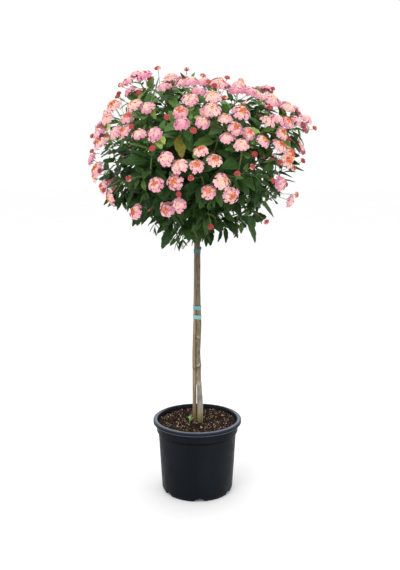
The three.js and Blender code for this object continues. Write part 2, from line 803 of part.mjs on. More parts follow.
// ---------------------------------------------------------------- leaves in their places
// Leaves stand in pairs on opposite facets, each pair a quarter turn from the last
function tryLeaf(shoot, number, draw, attempt) {
  const node = Math.max(0, STEM.nodes.length - 2 - Math.floor(number / 2));
  const wanted = (Math.floor(number / 2) + 2 * (number % 2) + Math.floor(attempt / 12)) % 4;
  const socket = shoot.sockets.find((one) => one.isFree && one.node === node && one.facet === wanted);
  const spin = (draw() - 0.5) * (0.9 + attempt * 0.03);
  const [lean, fall, size, wide] = [draw(), draw(), draw(), draw()];
  const tilt = anyWay(draw).multiplyScalar(0.35);
  const [fold, droop] = [0.16 + 0.16 * draw(), 4 + 9 * draw()];
  if (!socket) return null;
  const { axis } = backFromTip(shoot.line, STEM.nodes[node]);
  const way = socket.facing.clone().applyAxisAngle(axis, spin).addScaledVector(axis, 0.1 + 0.5 * lean);
  way.addScaledVector(DOWN, 0.1 + 0.45 * fall).normalize();
  const top = shoot.way.clone().multiplyScalar(0.8).addScaledVector(UP, 0.6).add(tilt);
  top.addScaledVector(way, -top.dot(way)).normalize();
  const scale = (number < 2 ? 0.84 : 1.04) * (0.86 + 0.28 * size) * (1 - attempt * 0.002);
  return {
    kind: 'leaf',
    socket,
    root: socket.middle,
    way,
    top,
    length: LEAF.length * scale,
    halfWidth: LEAF.halfWidth * scale * (0.92 + 0.16 * wide),
    fold,
    droop,
  };
}

for (let number = 0; number < LEAF.perShoot; number += 1) {
  shoots.filter((shoot) => number < LEAF.perHighShoot || shoot.rise < LEAF.high).forEach((shoot) => {
    const draw = seeded(SEED + 9000 + shoot.index * 89 + number * 17);
    placeFirstFree(shoot, LEAF.tries, (attempt) => tryLeaf(shoot, number, draw, attempt), leafBalls);
  });
}

// ---------------------------------------------------------------- plant pieces
function makeTrunk() {
  const line = TRUNK.map(([x, z]) => vec(x, 0, z));
  const bole = rod(line, TRUNK.map(([, , radius]) => radius), TRUNK_SIDES, vec(1, 0, 0));
  return meshOf('trunk', fused([bole, ...limbs.map(closeSockets)]), 0x8a7a64, 0.85);
}

function makeShoot(shoot) {
  shoot.things.forEach((thing) => {
    if (thing.kind === 'leaf') growLeaf(shoot.shell, thing);
    else if (thing.open) growBloom(shoot.shell, thing);
    else growBud(shoot.shell, thing);
  });
  const name = `flowering_shoot_${String(shoot.index + 1).padStart(2, '0')}`;
  return meshOf(name, closeSockets(shoot), 0x3d6b2f, 0.6);
}

// The little shoot at the foot of the cane: two pairs of leaves on a short square stem
function makeSprout() {
  const { x, y, top, leafLength, leafWidth } = SPROUT;
  const line = [vec(x, y, SOIL.height - 12), vec(x, y, top)];
  const stem = squareStem(line, SPROUT, 0.4);
  stem.sockets.filter(({ node, facet }) => node < 2 && (facet + node) % 2).forEach((socket, i) => {
    const way = socket.facing.clone().addScaledVector(UP, 0.7 + 0.2 * (i % 2)).normalize();
    const upper = UP.clone().addScaledVector(way, -UP.dot(way)).normalize();
    const size = { length: leafLength, halfWidth: leafWidth / 2, fold: 0.2, droop: 1.5 };
    growLeaf(stem.shell, { socket, root: socket.middle, way, top: upper, ...size });
    socket.isFree = false;
  });
  return meshOf('basal_sprout', closeSockets(stem), 0x7fb04a, 0.6);
}

// ---------------------------------------------------------------- the whole plant
const lantana = new THREE.Group();
lantana.name = 'lantana';
const container = new THREE.Group();
const plant = new THREE.Group();
lantana.add(container, plant);

const trunkFoot = TRUNK[0];
container.add(makePot());
container.add(makeSoil([
  { x: trunkFoot[0], y: 0, radius: trunkFoot[2] + 0.6, from: SOIL.holeBottom, sides: 12 },
  { x: CANE.x, y: 0, radius: CANE.radius + 0.5, from: SOIL.holeBottom, sides: 12 },
  { x: SPROUT.x, y: SPROUT.y, radius: SPROUT.base + 0.6, from: SOIL.height - 13, sides: 8 },
]));
container.add(makeCane());
['tie_lower', 'tie_middle', 'tie_upper'].forEach((name, i) => {
  container.add(makeTie(name, TIES.heights[i]));
});
plant.add(makeTrunk(), makeSprout(), ...shoots.map(makeShoot));

export default lantana;
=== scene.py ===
"""A lantana standard in its nursery pot: fine leaves, flower heads, bark, soil and pot built over the
plain solids, with a pale floor, soft light and a camera. Lengths below are millimetres unless a
name says otherwise; meshes are built in metres."""
import math

import bmesh
import bpy
import numpy as np
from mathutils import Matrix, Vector


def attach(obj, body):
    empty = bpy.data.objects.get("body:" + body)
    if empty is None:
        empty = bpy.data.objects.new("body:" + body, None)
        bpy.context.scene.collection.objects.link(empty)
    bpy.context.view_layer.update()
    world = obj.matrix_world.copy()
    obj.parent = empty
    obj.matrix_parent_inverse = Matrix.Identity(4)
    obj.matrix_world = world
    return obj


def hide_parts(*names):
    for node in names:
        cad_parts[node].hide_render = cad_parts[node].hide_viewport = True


bl_info = {
    "name": "Lantana Standard",
    "version": (1, 0, 0),
    "blender": (4, 5, 0),
    "location": "View3D > Sidebar > Lantana",
    "description": "Builds a potted lantana standard, piece by piece, and a stage for it",
    "category": "Add Mesh",
}

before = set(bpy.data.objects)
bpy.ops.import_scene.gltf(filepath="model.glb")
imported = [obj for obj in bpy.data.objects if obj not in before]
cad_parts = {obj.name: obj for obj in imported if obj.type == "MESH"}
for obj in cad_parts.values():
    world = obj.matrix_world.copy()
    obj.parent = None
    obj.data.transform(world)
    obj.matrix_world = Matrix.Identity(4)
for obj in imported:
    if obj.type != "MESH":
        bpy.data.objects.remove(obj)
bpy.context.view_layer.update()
MM = 0.001
SAME_HEIGHT, SAME_RADIUS = 1e-6, 1e-5

# ---------------------------------------------------------------- sizes of the solids
POT = {
    "sides": 104, "heel_radius": 95.7, "foot_inner": 81, "notches": 6, "notch_turn": 4, "notch_width": 27,
    "notch_height": 11.5, "notch_past": 8,
}
# The pot's outline, [radius, height] from the middle of its underside, up the outside, over the rim
# and down the inside to the floor
POT_OUTLINE = [
    (34, 0), (36.5, 4.6), (77.5, 4.8), (81, 0.2), (82, 0), (91.4, 0), (92.6, 0.7), (96.2, 8.2),
    (96.9, 10.4), (100.7, 76), (105.7, 163.4), (105.4, 166.6), (106.4, 168), (109.6, 168.2),
    (110.5, 168.9), (110.9, 189.2), (111.9, 190.7), (116.4, 190.6), (118.8, 191.1), (119.9, 192.5),
    (119.8, 194), (118.7, 195), (118.5, 196.1), (119.5, 197), (120, 198.3), (119.6, 199.9),
    (118.3, 201), (116.2, 201.6), (112.4, 201.5), (109.6, 200.5), (107.6, 198.2), (106.8, 195),
    (106.3, 171.4), (102.3, 168.6), (101.8, 165), (93.7, 14.4), (91.6, 9.6), (86, 7),
]
SOIL = {"sides": 96, "height": 184, "raised": 4, "waves": 2.08, "banked": 4, "bank_from": 40, "bank_over": 55,
        "top_radius": 105.8, "top_rings": 25, "ring_step": 4.2, "below_lumps": 1.6, "rough": 1.4,
        "reach": 104}
SOIL_OUTLINE = [(85.4, 7.3), (93.2, 15), (101.4, 168), (105.9, 172.5), (106.2, 183)]
CANE = {"sides": 22, "x": -8.4, "clear": 5, "top": 688, "foot": 120.3, "rings": 28, "knot": 346,
        "nick": 340.6}
# Trunk: [x, height, radius] from its foot in the soil to the fork
TRUNK = [
    [8, 121, 8.4], [8, 184, 8.3], [7.6, 240, 8.1], [6.8, 300, 7.9], [4.6, 336, 6.7], [3.8, 350, 6.9],
    [3.5, 364, 6.3], [3.2, 425, 6.2], [2.8, 560, 6], [2.6, 684, 5.9], [3, 718, 6.4], [3.4, 742, 5],
]
TIES = {"tall": 10.5, "wall": 0.35, "sides": 36, "trunk_play": 0.2, "frayed": 0.35}
# Each tie: its node, its height and its colour
TAPES = [("tie_lower", 483, (126, 178, 176)), ("tie_middle", 508, (96, 154, 158)),
         ("tie_upper", 660, (50, 96, 98))]
# Across a tie: [share of its height, how far it stands off what it binds]
TIE_ROWS = [(-0.5, 0.75), (-0.36, 0.6), (-0.12, 0.55), (0.06, 0.6), (0.12, 0.85), (0.34, 0.75), (0.5, 0.9)]
SPROUT = {"x": -21, "y": -9, "top": 200, "in_soil": 12, "base": 1.5, "tip": 1.1, "socket": 2,
          "nodes": [8, 2.5], "petiole": 2.5, "leaf_length": 12, "leaf_half_width": 4.9}
CROWN = {"middle": (5, 0, 885), "side": 285, "up": 232, "down": 205}
# Limbs: [turn, rise, length, height on the trunk]. Turn 0 is the front, 90 is +X.
LIMBS = [
    [-62, 50, 132, 728], [-6, 46, 128, 720], [52, 50, 130, 732], [112, 46, 132, 722], [172, 48, 128, 734],
    [-124, 46, 132, 726], [-38, 27, 112, 699], [24, 24, 112, 706], [82, 28, 114, 696], [142, 25, 112, 708],
    [-160, 28, 112, 700], [-96, 25, 114, 710], [20, 85, 142, 738],
]
LIMB = {"base": 5, "tip": 3.4, "socket": 5, "nodes": [58, 28], "steps": 8, "crowding": 18, "lift": 8}
TWIG = {"tip": 2.4, "shoot_length": 150, "least_share": 0.22, "square": 0.5}
# Flowering shoots: [turn, rise, reach as a share of the head, open flower heads, buds]
SHOOTS = [
    [-62, 57, 1.07, 4, 2], [-35, 60, 0.98, 3, 1], [-38, 38, 1, 2, 2], [-74, 36, 0.98, 4, 1],
    [-45, 24, 0.94, 3, 1], [-68, 15, 0.94, 2, 3], [-24, 16, 1, 2, 1], [-1, 45, 0.99, 5, 1],
    [-7, 30, 0.99, 3, 2], [12, 63, 0.96, 2, 3], [16, 30, 1, 4, 1], [42, 54, 0.96, 4, 1],
    [62, 47, 0.95, 3, 1], [46, 27, 0.97, 3, 1], [24, 16, 1, 4, 1], [68, 33, 1, 4, 0],
    [88, 27, 1.05, 3, 1], [52, 6, 0.93, 3, 4], [-2, 4, 1, 5, 1], [-74, -2, 0.95, 3, 1],
    [-14, -11, 1, 2, 1], [9, -12, 1, 3, 0], [-66, -19, 0.93, 2, 1], [-42, -34, 0.94, 1, 0],
    [-16, -27, 0.98, 2, 0], [46, -9, 0.92, 2, 1], [66, -26, 0.94, 1, 1], [52, -42, 0.93, 0, 1],
    [24, -3, 0.94, 0, 2], [-36, -8, 0.95, 0, 1], [8, -44, 0.94, 0, 1], [-30, -62, 0.97, 0, 0],
    [82, -58, 0.94, 0, 0], [-98, 20, 0.97, 2, 1], [-104, 50, 1, 2, 1], [-112, -16, 0.94, 2, 1],
    [-130, 8, 0.98, 2, 0], [-136, 34, 1, 3, 1], [-136, -42, 0.93, 1, 0], [-150, 62, 0.98, 2, 1],
    [-160, 16, 0.98, 3, 0], [-168, -10, 0.96, 2, 1], [-178, 40, 1, 3, 1], [166, 14, 1, 2, 1],
    [160, -38, 0.93, 1, 0], [152, 66, 0.97, 2, 1], [138, 38, 1, 3, 0], [138, 8, 0.98, 3, 1],
    [120, -20, 0.94, 1, 1], [108, 12, 0.97, 3, 0], [102, 50, 1, 3, 1], [-90, 80, 0.95, 2, 1],
]
STEM = {"base": 2.3, "tip": 1.6, "socket": 3.4, "nodes": [80, 47, 18, 6], "steps": 10, "below_blooms": 30,
        "tries": 80}
STEM_TURN = 0.9  # from one shoot's square stem to the next
STALK = 1.1
BLOOM = {"radius": 20, "spread": 22.5}
BUD = {"radius": 7.6, "height": 9.5, "tips": 23}
HEAD = {"tries": 90, "least_cosine": 0.66, "golden_angle": 2.39996, "hint": (0.3, 0.5, 0.8)}
LEAF = {"petiole": 10, "length": 50, "half_width": 14.5, "wall": 0.65, "per_shoot": 5, "per_high_shoot": 4,
        "high": 35, "tries": 60}
BALL = {"step": 5, "margin": 1.2, "blade": 4, "blade_step": 6, "stem_bare": 9, "stalk_bare": 7}
# Pairs of further leaves along a shoot, and of small ones along a twig: how near the foot they stop, how
# loosely they turn, and the balls that keep them apart
FURTHER = {"stop": 4, "tries": 12, "spread": 50, "looser": 9, "uneven": 0.4,
           "balls": {"radius": 2.2, "step": 7}}
SMALL = {"stop": 6, "tries": 8, "spread": 40, "looser": 12, "spacing": 10, "uneven": 0.5,
         "balls": {"radius": 1.4, "step": 5}}
LOW_SHOOT = 12  # a shoot that rises less, in degrees, is a low one
JOINT_GAP = 0.5
# Seeds of the random draws: [first, step from one shoot or tie to the next, step from one head or leaf on]
SEEDS = {
    "stem": (7, 101, 0), "heads": (5007, 97, 13), "leaves": (9007, 89, 17), "leader": (20007, 1, 0),
    "further": (30007, 61, 0), "greens": (40007, 1, 0), "petals": (50007, 1, 0), "inner": (60007, 0, 0),
    "inner_greens": (61007, 0, 0), "twigs": (70007, 31, 0), "soil": (41, 0, 0), "crumbs": (51, 1, 0),
    "cane": (61, 0, 0), "bole": (71, 0, 0), "ties": (80, 1, 0),
}
# How cane and bole stray from their straight solids. Cane: [height, lean, back, radius];
# bole: [height, sideways, thicker]
CANE_RUN = [
    [120, 0.5, 0, 5.15], [240, 0.6, 0, 5.15], [255, 0.85, 0, 5.4], [290, 0.85, 0, 5.4], [320, 0.4, 0, 5.1],
    [345, 0.3, 0, 5.0], [366, 0.05, 0, 5.15], [384, 0, 0, 5.15], [400, 0.2, 0, 4.9], [430, 0.6, 0, 4.6],
    [445, 1.1, 0.4, 4.5], [460, 1.6, 1.8, 4.4], [480, 2.1, 4.2, 4.3], [560, 2.9, 5.7, 4.1],
    [650, 3.9, 6.1, 3.9], [690, 4.1, 6.2, 3.8],
]
BOLE_RUN = [
    [232, 0, 0], [243, -0.35, -0.35], [254, -0.45, -0.45], [264, -0.75, -0.95], [275, -0.85, -1.05],
    [286, -1.1, -1.0], [297, -1.8, -1.3], [308, -2.2, -0.8], [318, -2.35, -0.5], [330, -1.75, -0.3],
    [345, -0.8, -0.2], [354, -0.5, -0.2], [366, -0.7, -0.5], [384, -1.05, -0.4], [396, -0.6, 0],
    [405, -0.1, 0.3], [425, 0.5, 0.4], [440, 1.1, 0.4], [462, 1.4, 0.35], [480, 1.0, 0.3], [520, 0.2, 0],
    [600, 0, -0.3], [660, 0, -0.6], [700, 0, -0.5], [742, 0, 0],
]
BOLE = {"sides": 36, "foot": 121.5, "top": 742, "ring_step": 2.6, "ring_x": 3, "graft": 350,
        "below_graft": 343.5, "scar": 429}
# Round the whole bole: [height, rise, how wide]; at one turn: [height, turn, rise]
BOLE_SWELLS = [(298, 0.8, 3.2), (462, 0.4, 26), (402, -0.3, 20)]
BUD_SCARS = [(425, 200, 1.4), (262, 330, 1.1), (318, 30, 1.2), (590, 150, 1), (640, 300, 0.9), (395, 60, 0.9)]
# Above each height its rings slant by so much
BOLE_SLANTS = [(390, 0.4), (330, -0.2), (0, 0.0)]
# The corners of the box round the head's solids
HEAD_BOX = ((-276, -306, 628), (301, 286, 1124))
# Over the head's lower edge: how high at the middle, and how it rises outwards and to the bare side
LOWER_EDGE = {"clear": 18, "level_to": 50, "outwards": 0.52, "sideways": 0.42}
# Further leaves past the edge of the lower head: the share of the head they fill, and the chance of one
# beyond it
LOWER_HEAD = {"below": 40, "bare_from": 50, "full": 0.74, "bare_full": 0.45, "beyond": 0.22,
              "bare_beyond": 0.1}
# The place before the top of the trunk that hanging leaves keep clear, so that the upper tie shows
UPPER_TIE = {"half_width": 12, "below": 676}
# Area lights: [name, place and width in metres, share of the key light's power]
LIGHTS = [("key", (-1.3, -2.2, 2.9), 1.8, 1), ("fill", (2, -1.6, 1.5), 1.8, 0.35),
          ("top", (0.2, 0.9, 3), 2.2, 0.6)]
LIGHTS_AIM = (0, 0, 0.85)
CAMERA = {"place": (0.0074, -2, 0.928), "down": 10.16, "sensor": 36}
# The one yellowing leaf: the leaf nearest to a place, and its tone
OLD_LEAF = {"near": (-36, -198, 955), "tone": (0.27, 0.235, 0.03)}


# ---------------------------------------------------------------- sums on points, in millimetres
ORIGIN = (0, 0, 0)
UP = (0.0, 0.0, 1.0)


def plus(p, a, u, b=UP, v=0.0, c=UP, w=0.0):
    """p + u a + v b + w c"""
    return tuple(p[i] + a[i] * u + b[i] * v + c[i] * w for i in range(3))


def minus(p, q):
    return (p[0] - q[0], p[1] - q[1], p[2] - q[2])


def dot(p, q):
    return p[0] * q[0] + p[1] * q[1] + p[2] * q[2]


def cross(p, q):
    return (p[1] * q[2] - p[2] * q[1], p[2] * q[0] - p[0] * q[2], p[0] * q[1] - p[1] * q[0])


def size(p):
    return math.sqrt(dot(p, p))


def unit(p):
    length = size(p) or 1.0
    return (p[0] / length, p[1] / length, p[2] / length)


def apart(p, q):
    return size(minus(p, q))


def scaled(p, share):
    return tuple(v * share for v in p)


def mix(p, q, t):
    return tuple(p[i] + (q[i] - p[i]) * t for i in range(3))


def direction(turn, rise):
    """A direction from its turn about the upright axis and its rise above the level."""
    a, e = math.radians(turn), math.radians(rise)
    return (math.sin(a) * math.cos(e), -math.cos(a) * math.cos(e), math.sin(e))


def square_to(axis, hint):
    """Two directions square to an axis and to each other, so that side x lift = axis."""
    side = plus(hint, axis, -dot(hint, axis))
    if size(side) < 0.05:
        side = cross((axis[2], axis[0], axis[1]), axis)
    side = unit(side)
    return side, cross(axis, side)


def spoke(side, lift, turn):
    """The way outwards at a turn, between two square directions."""
    return plus(ORIGIN, side, math.cos(turn), lift, math.sin(turn))


def levelled(top, way):
    """The part of a direction that is square to a way."""
    return unit(plus(top, way, -dot(top, way)))


def turned(p, axis, angle):
    """p turned about a unit axis."""
    c, s = math.cos(angle), math.sin(angle)
    return plus(scaled(p, c), cross(axis, p), s, axis, dot(axis, p) * (1 - c))


def seeded(kind, one=0, part=0):
    """Repeatable random draws in 0..1. Those of stems, heads and leaves placed the solids too."""
    first, by_one, by_part = SEEDS[kind]
    seed = first + one * by_one + part * by_part
    state = [seed & 0xFFFFFFFF]

    def draw():
        state[0] = s = (state[0] + 0x6D2B79F5) & 0xFFFFFFFF
        t = ((s ^ (s >> 15)) * (s | 1)) & 0xFFFFFFFF
        t ^= (t + ((t ^ (t >> 7)) * (t | 61))) & 0xFFFFFFFF
        return (t ^ (t >> 14)) / 4294967296

    return draw


def bend(start, past, end, steps):
    """A line of points from start to end, bending towards past."""
    return [mix(mix(start, past, i / steps), mix(past, end, i / steps), i / steps) for i in range(steps + 1)]


def length_of(line):
    return sum(apart(a, b) for a, b in zip(line, line[1:]))


def back_from_tip(line, distance):
    """Where a line is, and which way it runs, at a distance back from its tip."""
    left = distance
    for i in range(len(line) - 1, 0, -1):
        piece = minus(line[i], line[i - 1])
        length = size(piece)
        if left <= length or i == 1:
            return plus(line[i], piece, -min(left / length, 1)), unit(piece)
        left -= length
    return None


# ---------------------------------------------------------------- where everything grows
class Room:
    """What is taken in the head, as balls; a new thing goes where its balls are free."""

    CELL = 14

    def __init__(self):
        self.cells = {}

    def around(self, ball):
        x, y, z, r = ball
        cell = self.CELL
        for i in range(math.floor((x - r) / cell), math.floor((x + r) / cell) + 1):
            for j in range(math.floor((y - r) / cell), math.floor((y + r) / cell) + 1):
                for k in range(math.floor((z - r) / cell), math.floor((z + r) / cell) + 1):
                    yield i, j, k

    def add(self, balls):
        for ball in balls:
            for key in self.around(ball):
                self.cells.setdefault(key, []).append(ball)

    def is_free(self, balls):
        cells = self.cells
        for ball in balls:
            x, y, z, r = ball
            for key in self.around(ball):
                for bx, by, bz, br in cells.get(key, ()):
                    if (x - bx) ** 2 + (y - by) ** 2 + (z - bz) ** 2 < (r + br) ** 2:
                        return False
        return True

    def take(self, balls):
        """Adds balls if they are free, and tells whether they were."""
        free = self.is_free(balls)
        if free:
            self.add(balls)
        return free


def balls_along(line, radius, bare):
    """Balls along a stem, past its bare start."""
    balls, run = [], 0.0
    for before, point in zip(line, line[1:]):
        length = apart(before, point)
        count = max(1, math.ceil(length / BALL["step"]))
        for k in range(1, count + 1):
            if run + length * k / count >= bare:
                balls.append((*mix(before, point, k / count), radius + BALL["margin"]))
        run += length
    return balls


def blade_width(t):
    """Half width of the ovate blade along its length, as a share of the widest."""
    return math.sin(math.pi * min(t, 1) ** 0.7) ** 0.8 if t < 1 else 0.0


def leaf_balls(leaf, radius=BALL["blade"], step=BALL["blade_step"]):
    """Balls in rows across a blade."""
    side = cross(leaf["way"], leaf["top"])
    balls, u = [], 2
    while u <= leaf["length"]:
        t = u / leaf["length"]
        half = max(0, leaf["half_width"] * blade_width(t) - radius * 0.6)
        count = math.ceil(2 * half / step)
        for k in range(count + 1):
            w = -half + 2 * half * k / count if count else 0
            h = leaf["fold"] * abs(w) - leaf["droop"] * t * t
            at = plus(leaf["root"], leaf["way"], leaf["petiole"] + u, side, w, leaf["top"], h)
            balls.append((*at, radius))
        u += step
    return balls


def ring_of(middle, axis, hint, radius, sides):
    side, lift = square_to(axis, hint)
    turns = [i * 2 * math.pi / sides for i in range(sides)]
    return [plus(middle, side, radius * math.cos(a), lift, radius * math.sin(a)) for a in turns]


def socket_of(loop, node, facet):
    a, b, c, d = loop
    middle = tuple(sum(p[i] for p in loop) * 0.25 for i in range(3))
    facing = unit(cross(minus(c, a), minus(d, b)))
    return {"loop": loop, "node": node, "facet": facet, "middle": middle, "facing": facing, "free": True}


def square_stem(line, form, turn):
    """A square stem's line and its sockets: four at each node and one at its end."""
    length = length_of(line)
    side, lift = square_to(unit(minus(line[-1], line[0])), UP)
    hint = spoke(side, lift, turn)
    nodes = [back for back in form["nodes"] if back < length - 7.5 * form["tip"]]
    stations = [length] + [b + s * form["socket"] / 2 for b in nodes for s in (1, -1)] + [0]
    rings = []
    for back in stations:
        point, axis = back_from_tip(line, back)
        radius = form["tip"] + (form["base"] - form["tip"]) * back / length
        rings.append(ring_of(point, axis, hint, radius, 4))
    sockets = []
    for i in range(1, len(rings) - 1, 2):
        low, high = rings[i], rings[i + 1]
        for j in range(4):
            n = (j + 1) % 4
            sockets.append(socket_of([low[j], low[n], high[n], high[j]], (i - 1) // 2, j))
    sockets.append(socket_of(rings[-1], len(nodes), 0))
    return {"line": line, "sockets": sockets}


def socket_towards(stem, place, least, test=lambda socket: True):
    best, most = None, least
    for socket in stem["sockets"]:
        if socket["free"] and test(socket):
            cosine = dot(unit(minus(place, socket["middle"])), socket["facing"])
            if cosine > most:
                best, most = socket, cosine
    return best


def on_crown(way, reach):
    tall = CROWN["up"] if way[2] >= 0 else CROWN["down"]
    out = (way[0] * CROWN["side"], way[1] * CROWN["side"], way[2] * tall)
    return plus(CROWN["middle"], out, reach)


def on_trunk(height):
    for (x0, z0, _), (x1, z1, _) in zip(TRUNK, TRUNK[1:]):
        if z1 >= height:
            return (x0 + (x1 - x0) * (height - z0) / (z1 - z0), 0.0, float(height))
    return (TRUNK[-1][0], 0.0, float(height))


def any_way(draw):
    return direction(draw() * 360, draw() * 180 - 90)


def grow_limbs():
    limbs = []
    for turn, rise, length, height in LIMBS:
        start = on_trunk(height)
        end = plus(start, direction(turn, rise), length)
        past = plus(start, direction(turn, rise + LIMB["lift"]), length * 0.5)
        line = bend(start, past, end, LIMB["steps"])
        limbs.append({**square_stem(line, LIMB, math.radians(turn)), "twigs": 0})
    return limbs


def grow_twigs(limbs):
    """The twig of every flowering shoot, each from a socket of the nearest limb."""
    shoots = []
    for index, (turn, rise, reach, blooms, buds) in enumerate(SHOOTS):
        way = direction(turn, rise)
        tip = plus(on_crown(way, reach), way, -STEM["below_blooms"])
        limb = min(limbs, key=lambda one: apart(one["line"][-1], tip) + LIMB["crowding"] * one["twigs"])
        limb["twigs"] += 1
        socket = socket_towards(limb, tip, -1)
        socket["free"] = False
        whole = minus(tip, socket["middle"])
        share = max(TWIG["least_share"], 1 - TWIG["shoot_length"] / size(whole))
        lean = plus(unit(whole), UP, 0.35 if rise < 0 else -0.1)
        lean = unit(plus(lean, socket["facing"], TWIG["square"]))
        end = plus(socket["middle"], lean, size(whole) * share)
        shoots.append({
            "index": index, "rise": rise, "way": way, "tip": tip, "reach": reach, "blooms": blooms,
            "buds": buds, "twig": [socket["middle"], end], "lean": lean, "heads": [], "leaves": [],
        })
    return shoots


def lay_stem(room, shoot):
    """The shoot's stem leaves its twig straight on and bends to its tip, past what is in the way."""
    draw = seeded("stem", shoot["index"])
    start = plus(shoot["twig"][1], shoot["lean"], JOINT_GAP)
    length = apart(start, shoot["tip"])
    for attempt in range(STEM["tries"]):
        wander = 3 + attempt * 0.8 if attempt else 0
        end = plus(shoot["tip"], any_way(draw), wander)
        past = plus(start, shoot["lean"], length * 0.5)
        past = plus(past, any_way(draw), wander)
        line = bend(start, past, end, STEM["steps"])
        balls = balls_along(line, STEM["base"], BALL["stem_bare"])
        if room.is_free(balls):
            break
    room.add(balls)
    shoot.update(square_stem(line, STEM, shoot["index"] * STEM_TURN))


def place_first_free(room, things, tries, make, balls_of):
    """Makes a thing again and again until it finds room."""
    for attempt in range(tries):
        thing = make(attempt)
        if thing and room.take(balls_of(thing)):
            thing["socket"]["free"] = False
            things.append(thing)
            return


def head_balls(head):
    stalk = balls_along([head["root"], head["base"]], STALK, BALL["stalk_bare"])
    base, facing, r = head["base"], head["facing"], head["radius"]
    if not head["open"]:
        return [*stalk, (*plus(base, facing, 4), r + 0.5)]
    side, lift = square_to(facing, HEAD["hint"])
    rim = []
    for i in range(8):
        a = i * math.pi / 4
        at = plus(base, side, 0.68 * r * math.cos(a), lift, 0.68 * r * math.sin(a), facing, 0.32 * r)
        rim.append((*at, 0.37 * r))
    return [*stalk, *rim, (*plus(base, facing, 0.34 * r), 0.42 * r)]


def try_head(shoot, number, is_open, draw, attempt):
    side, lift = square_to(shoot["way"], UP)
    count = shoot["blooms"] + shoot["buds"]
    angle = (number + shoot["index"] * 0.37) * HEAD["golden_angle"] + (draw() - 0.5) * (0.5 + attempt * 0.12)
    spread = BLOOM["spread"] * math.sqrt(number + 0.55 if count > 1 else 0) * (1 + attempt * 0.012)
    away = scaled(shoot["way"], CROWN["side"])
    away = unit(plus(away, side, spread * math.cos(angle), lift, spread * math.sin(angle)))
    reach = shoot["reach"] + (draw() - 0.5) * (0.05 + attempt * 0.002) + (0 if is_open else 0.025)
    base = on_crown(away, reach)
    top_nodes = len(STEM["nodes"]) - (2 if number < 5 else 3)
    socket = socket_towards(shoot, base, 0.3, lambda one: one["node"] >= top_nodes)
    facing = plus(scaled(away, 0.75), UP, 0.4)
    facing = unit(plus(facing, any_way(draw), 0.28))
    share = draw()
    radius = BLOOM["radius"] * (0.9 + 0.2 * share) if is_open else BUD["radius"] * (0.85 + 0.3 * share)
    if not socket:
        return None
    stalk = unit(minus(base, socket["middle"]))
    while dot(facing, stalk) < HEAD["least_cosine"]:
        facing = unit(plus(facing, stalk, 0.3))
    return {"open": is_open, "socket": socket, "root": socket["middle"], "base": base, "facing": facing,
            "radius": radius, "number": number}


def try_leaf(shoot, number, draw, attempt):
    node = max(0, len(STEM["nodes"]) - 2 - number // 2)
    wanted = (number // 2 + 2 * (number % 2) + attempt // 12) % 4
    fitting = [s for s in shoot["sockets"] if s["free"] and s["node"] == node and s["facet"] == wanted]
    spin = (draw() - 0.5) * (0.9 + attempt * 0.03)
    lean, fall, scale, wide = draw(), draw(), draw(), draw()
    tilt = any_way(draw)
    fold = 0.16 + 0.16 * draw()
    droop = 4 + 9 * draw()
    if not fitting:
        return None
    socket = fitting[0]
    axis = back_from_tip(shoot["line"], STEM["nodes"][node])[1]
    way = plus(turned(socket["facing"], axis, spin), axis, 0.1 + 0.5 * lean)
    way = unit(plus(way, UP, -(0.1 + 0.45 * fall)))
    top = levelled(plus(ORIGIN, shoot["way"], 0.8, UP, 0.6, tilt, 0.35), way)
    scale = (0.84 if number < 2 else 1.04) * (0.86 + 0.28 * scale) * (1 - attempt * 0.002)
    return {"socket": socket, "root": socket["middle"], "way": way, "top": top, "petiole": LEAF["petiole"],
            "length": LEAF["length"] * scale, "half_width": LEAF["half_width"] * scale * (0.92 + 0.16 * wide),
            "fold": fold, "droop": droop, "fresh": 0.3}


def grow_shoots():
    """Limbs and shoots with the stems, heads and leaves that the solids have, in the same places."""
    room = Room()
    limbs = grow_limbs()
    shoots = grow_twigs(limbs)
    for limb in limbs:
        room.add(balls_along(limb["line"], LIMB["tip"] + 0.6, 0))
    for shoot in shoots:
        room.add(balls_along(shoot["twig"], TWIG["tip"], 0))
    room.add(balls_along([on_trunk(600), on_trunk(742)], 6, 0))
    for shoot in shoots:
        lay_stem(room, shoot)
    for shoot in shoots:
        for number in range(shoot["blooms"] + shoot["buds"]):
            draw = seeded("heads", shoot["index"], number)
            is_open = number < shoot["blooms"]
            place_first_free(room, shoot["heads"], HEAD["tries"],
                             lambda attempt: try_head(shoot, number, is_open, draw, attempt), head_balls)
    for number in range(LEAF["per_shoot"]):
        for shoot in shoots:
            if number < LEAF["per_high_shoot"] or shoot["rise"] < LEAF["high"]:
                draw = seeded("leaves", shoot["index"], number)
                place_first_free(room, shoot["leaves"], LEAF["tries"],
                                 lambda attempt: try_leaf(shoot, number, draw, attempt), leaf_balls)
    return room, limbs, shoots


# ---------------------------------------------------------------- modelling helpers
def start_fresh():
    """Object mode, with nothing selected."""
    if bpy.context.object and bpy.context.object.mode != "OBJECT":
        bpy.ops.object.mode_set(mode="OBJECT")
    bpy.ops.object.select_all(action="DESELECT")


def edit():
    bpy.ops.object.mode_set(mode="EDIT")


def done():
    bpy.ops.object.mode_set(mode="OBJECT")
    return bpy.context.object


def select_everything():
    bpy.ops.mesh.select_all(action="SELECT")


def face_outwards():
    """Turns every face of the piece outwards and leaves edit mode."""
    select_everything()
    bpy.ops.mesh.normals_make_consistent(inside=False)
    return done()


def select_piece(piece):
    """In object mode, selects a piece alone."""
    start_fresh()
    bpy.context.view_layer.objects.active = piece
    piece.select_set(True)


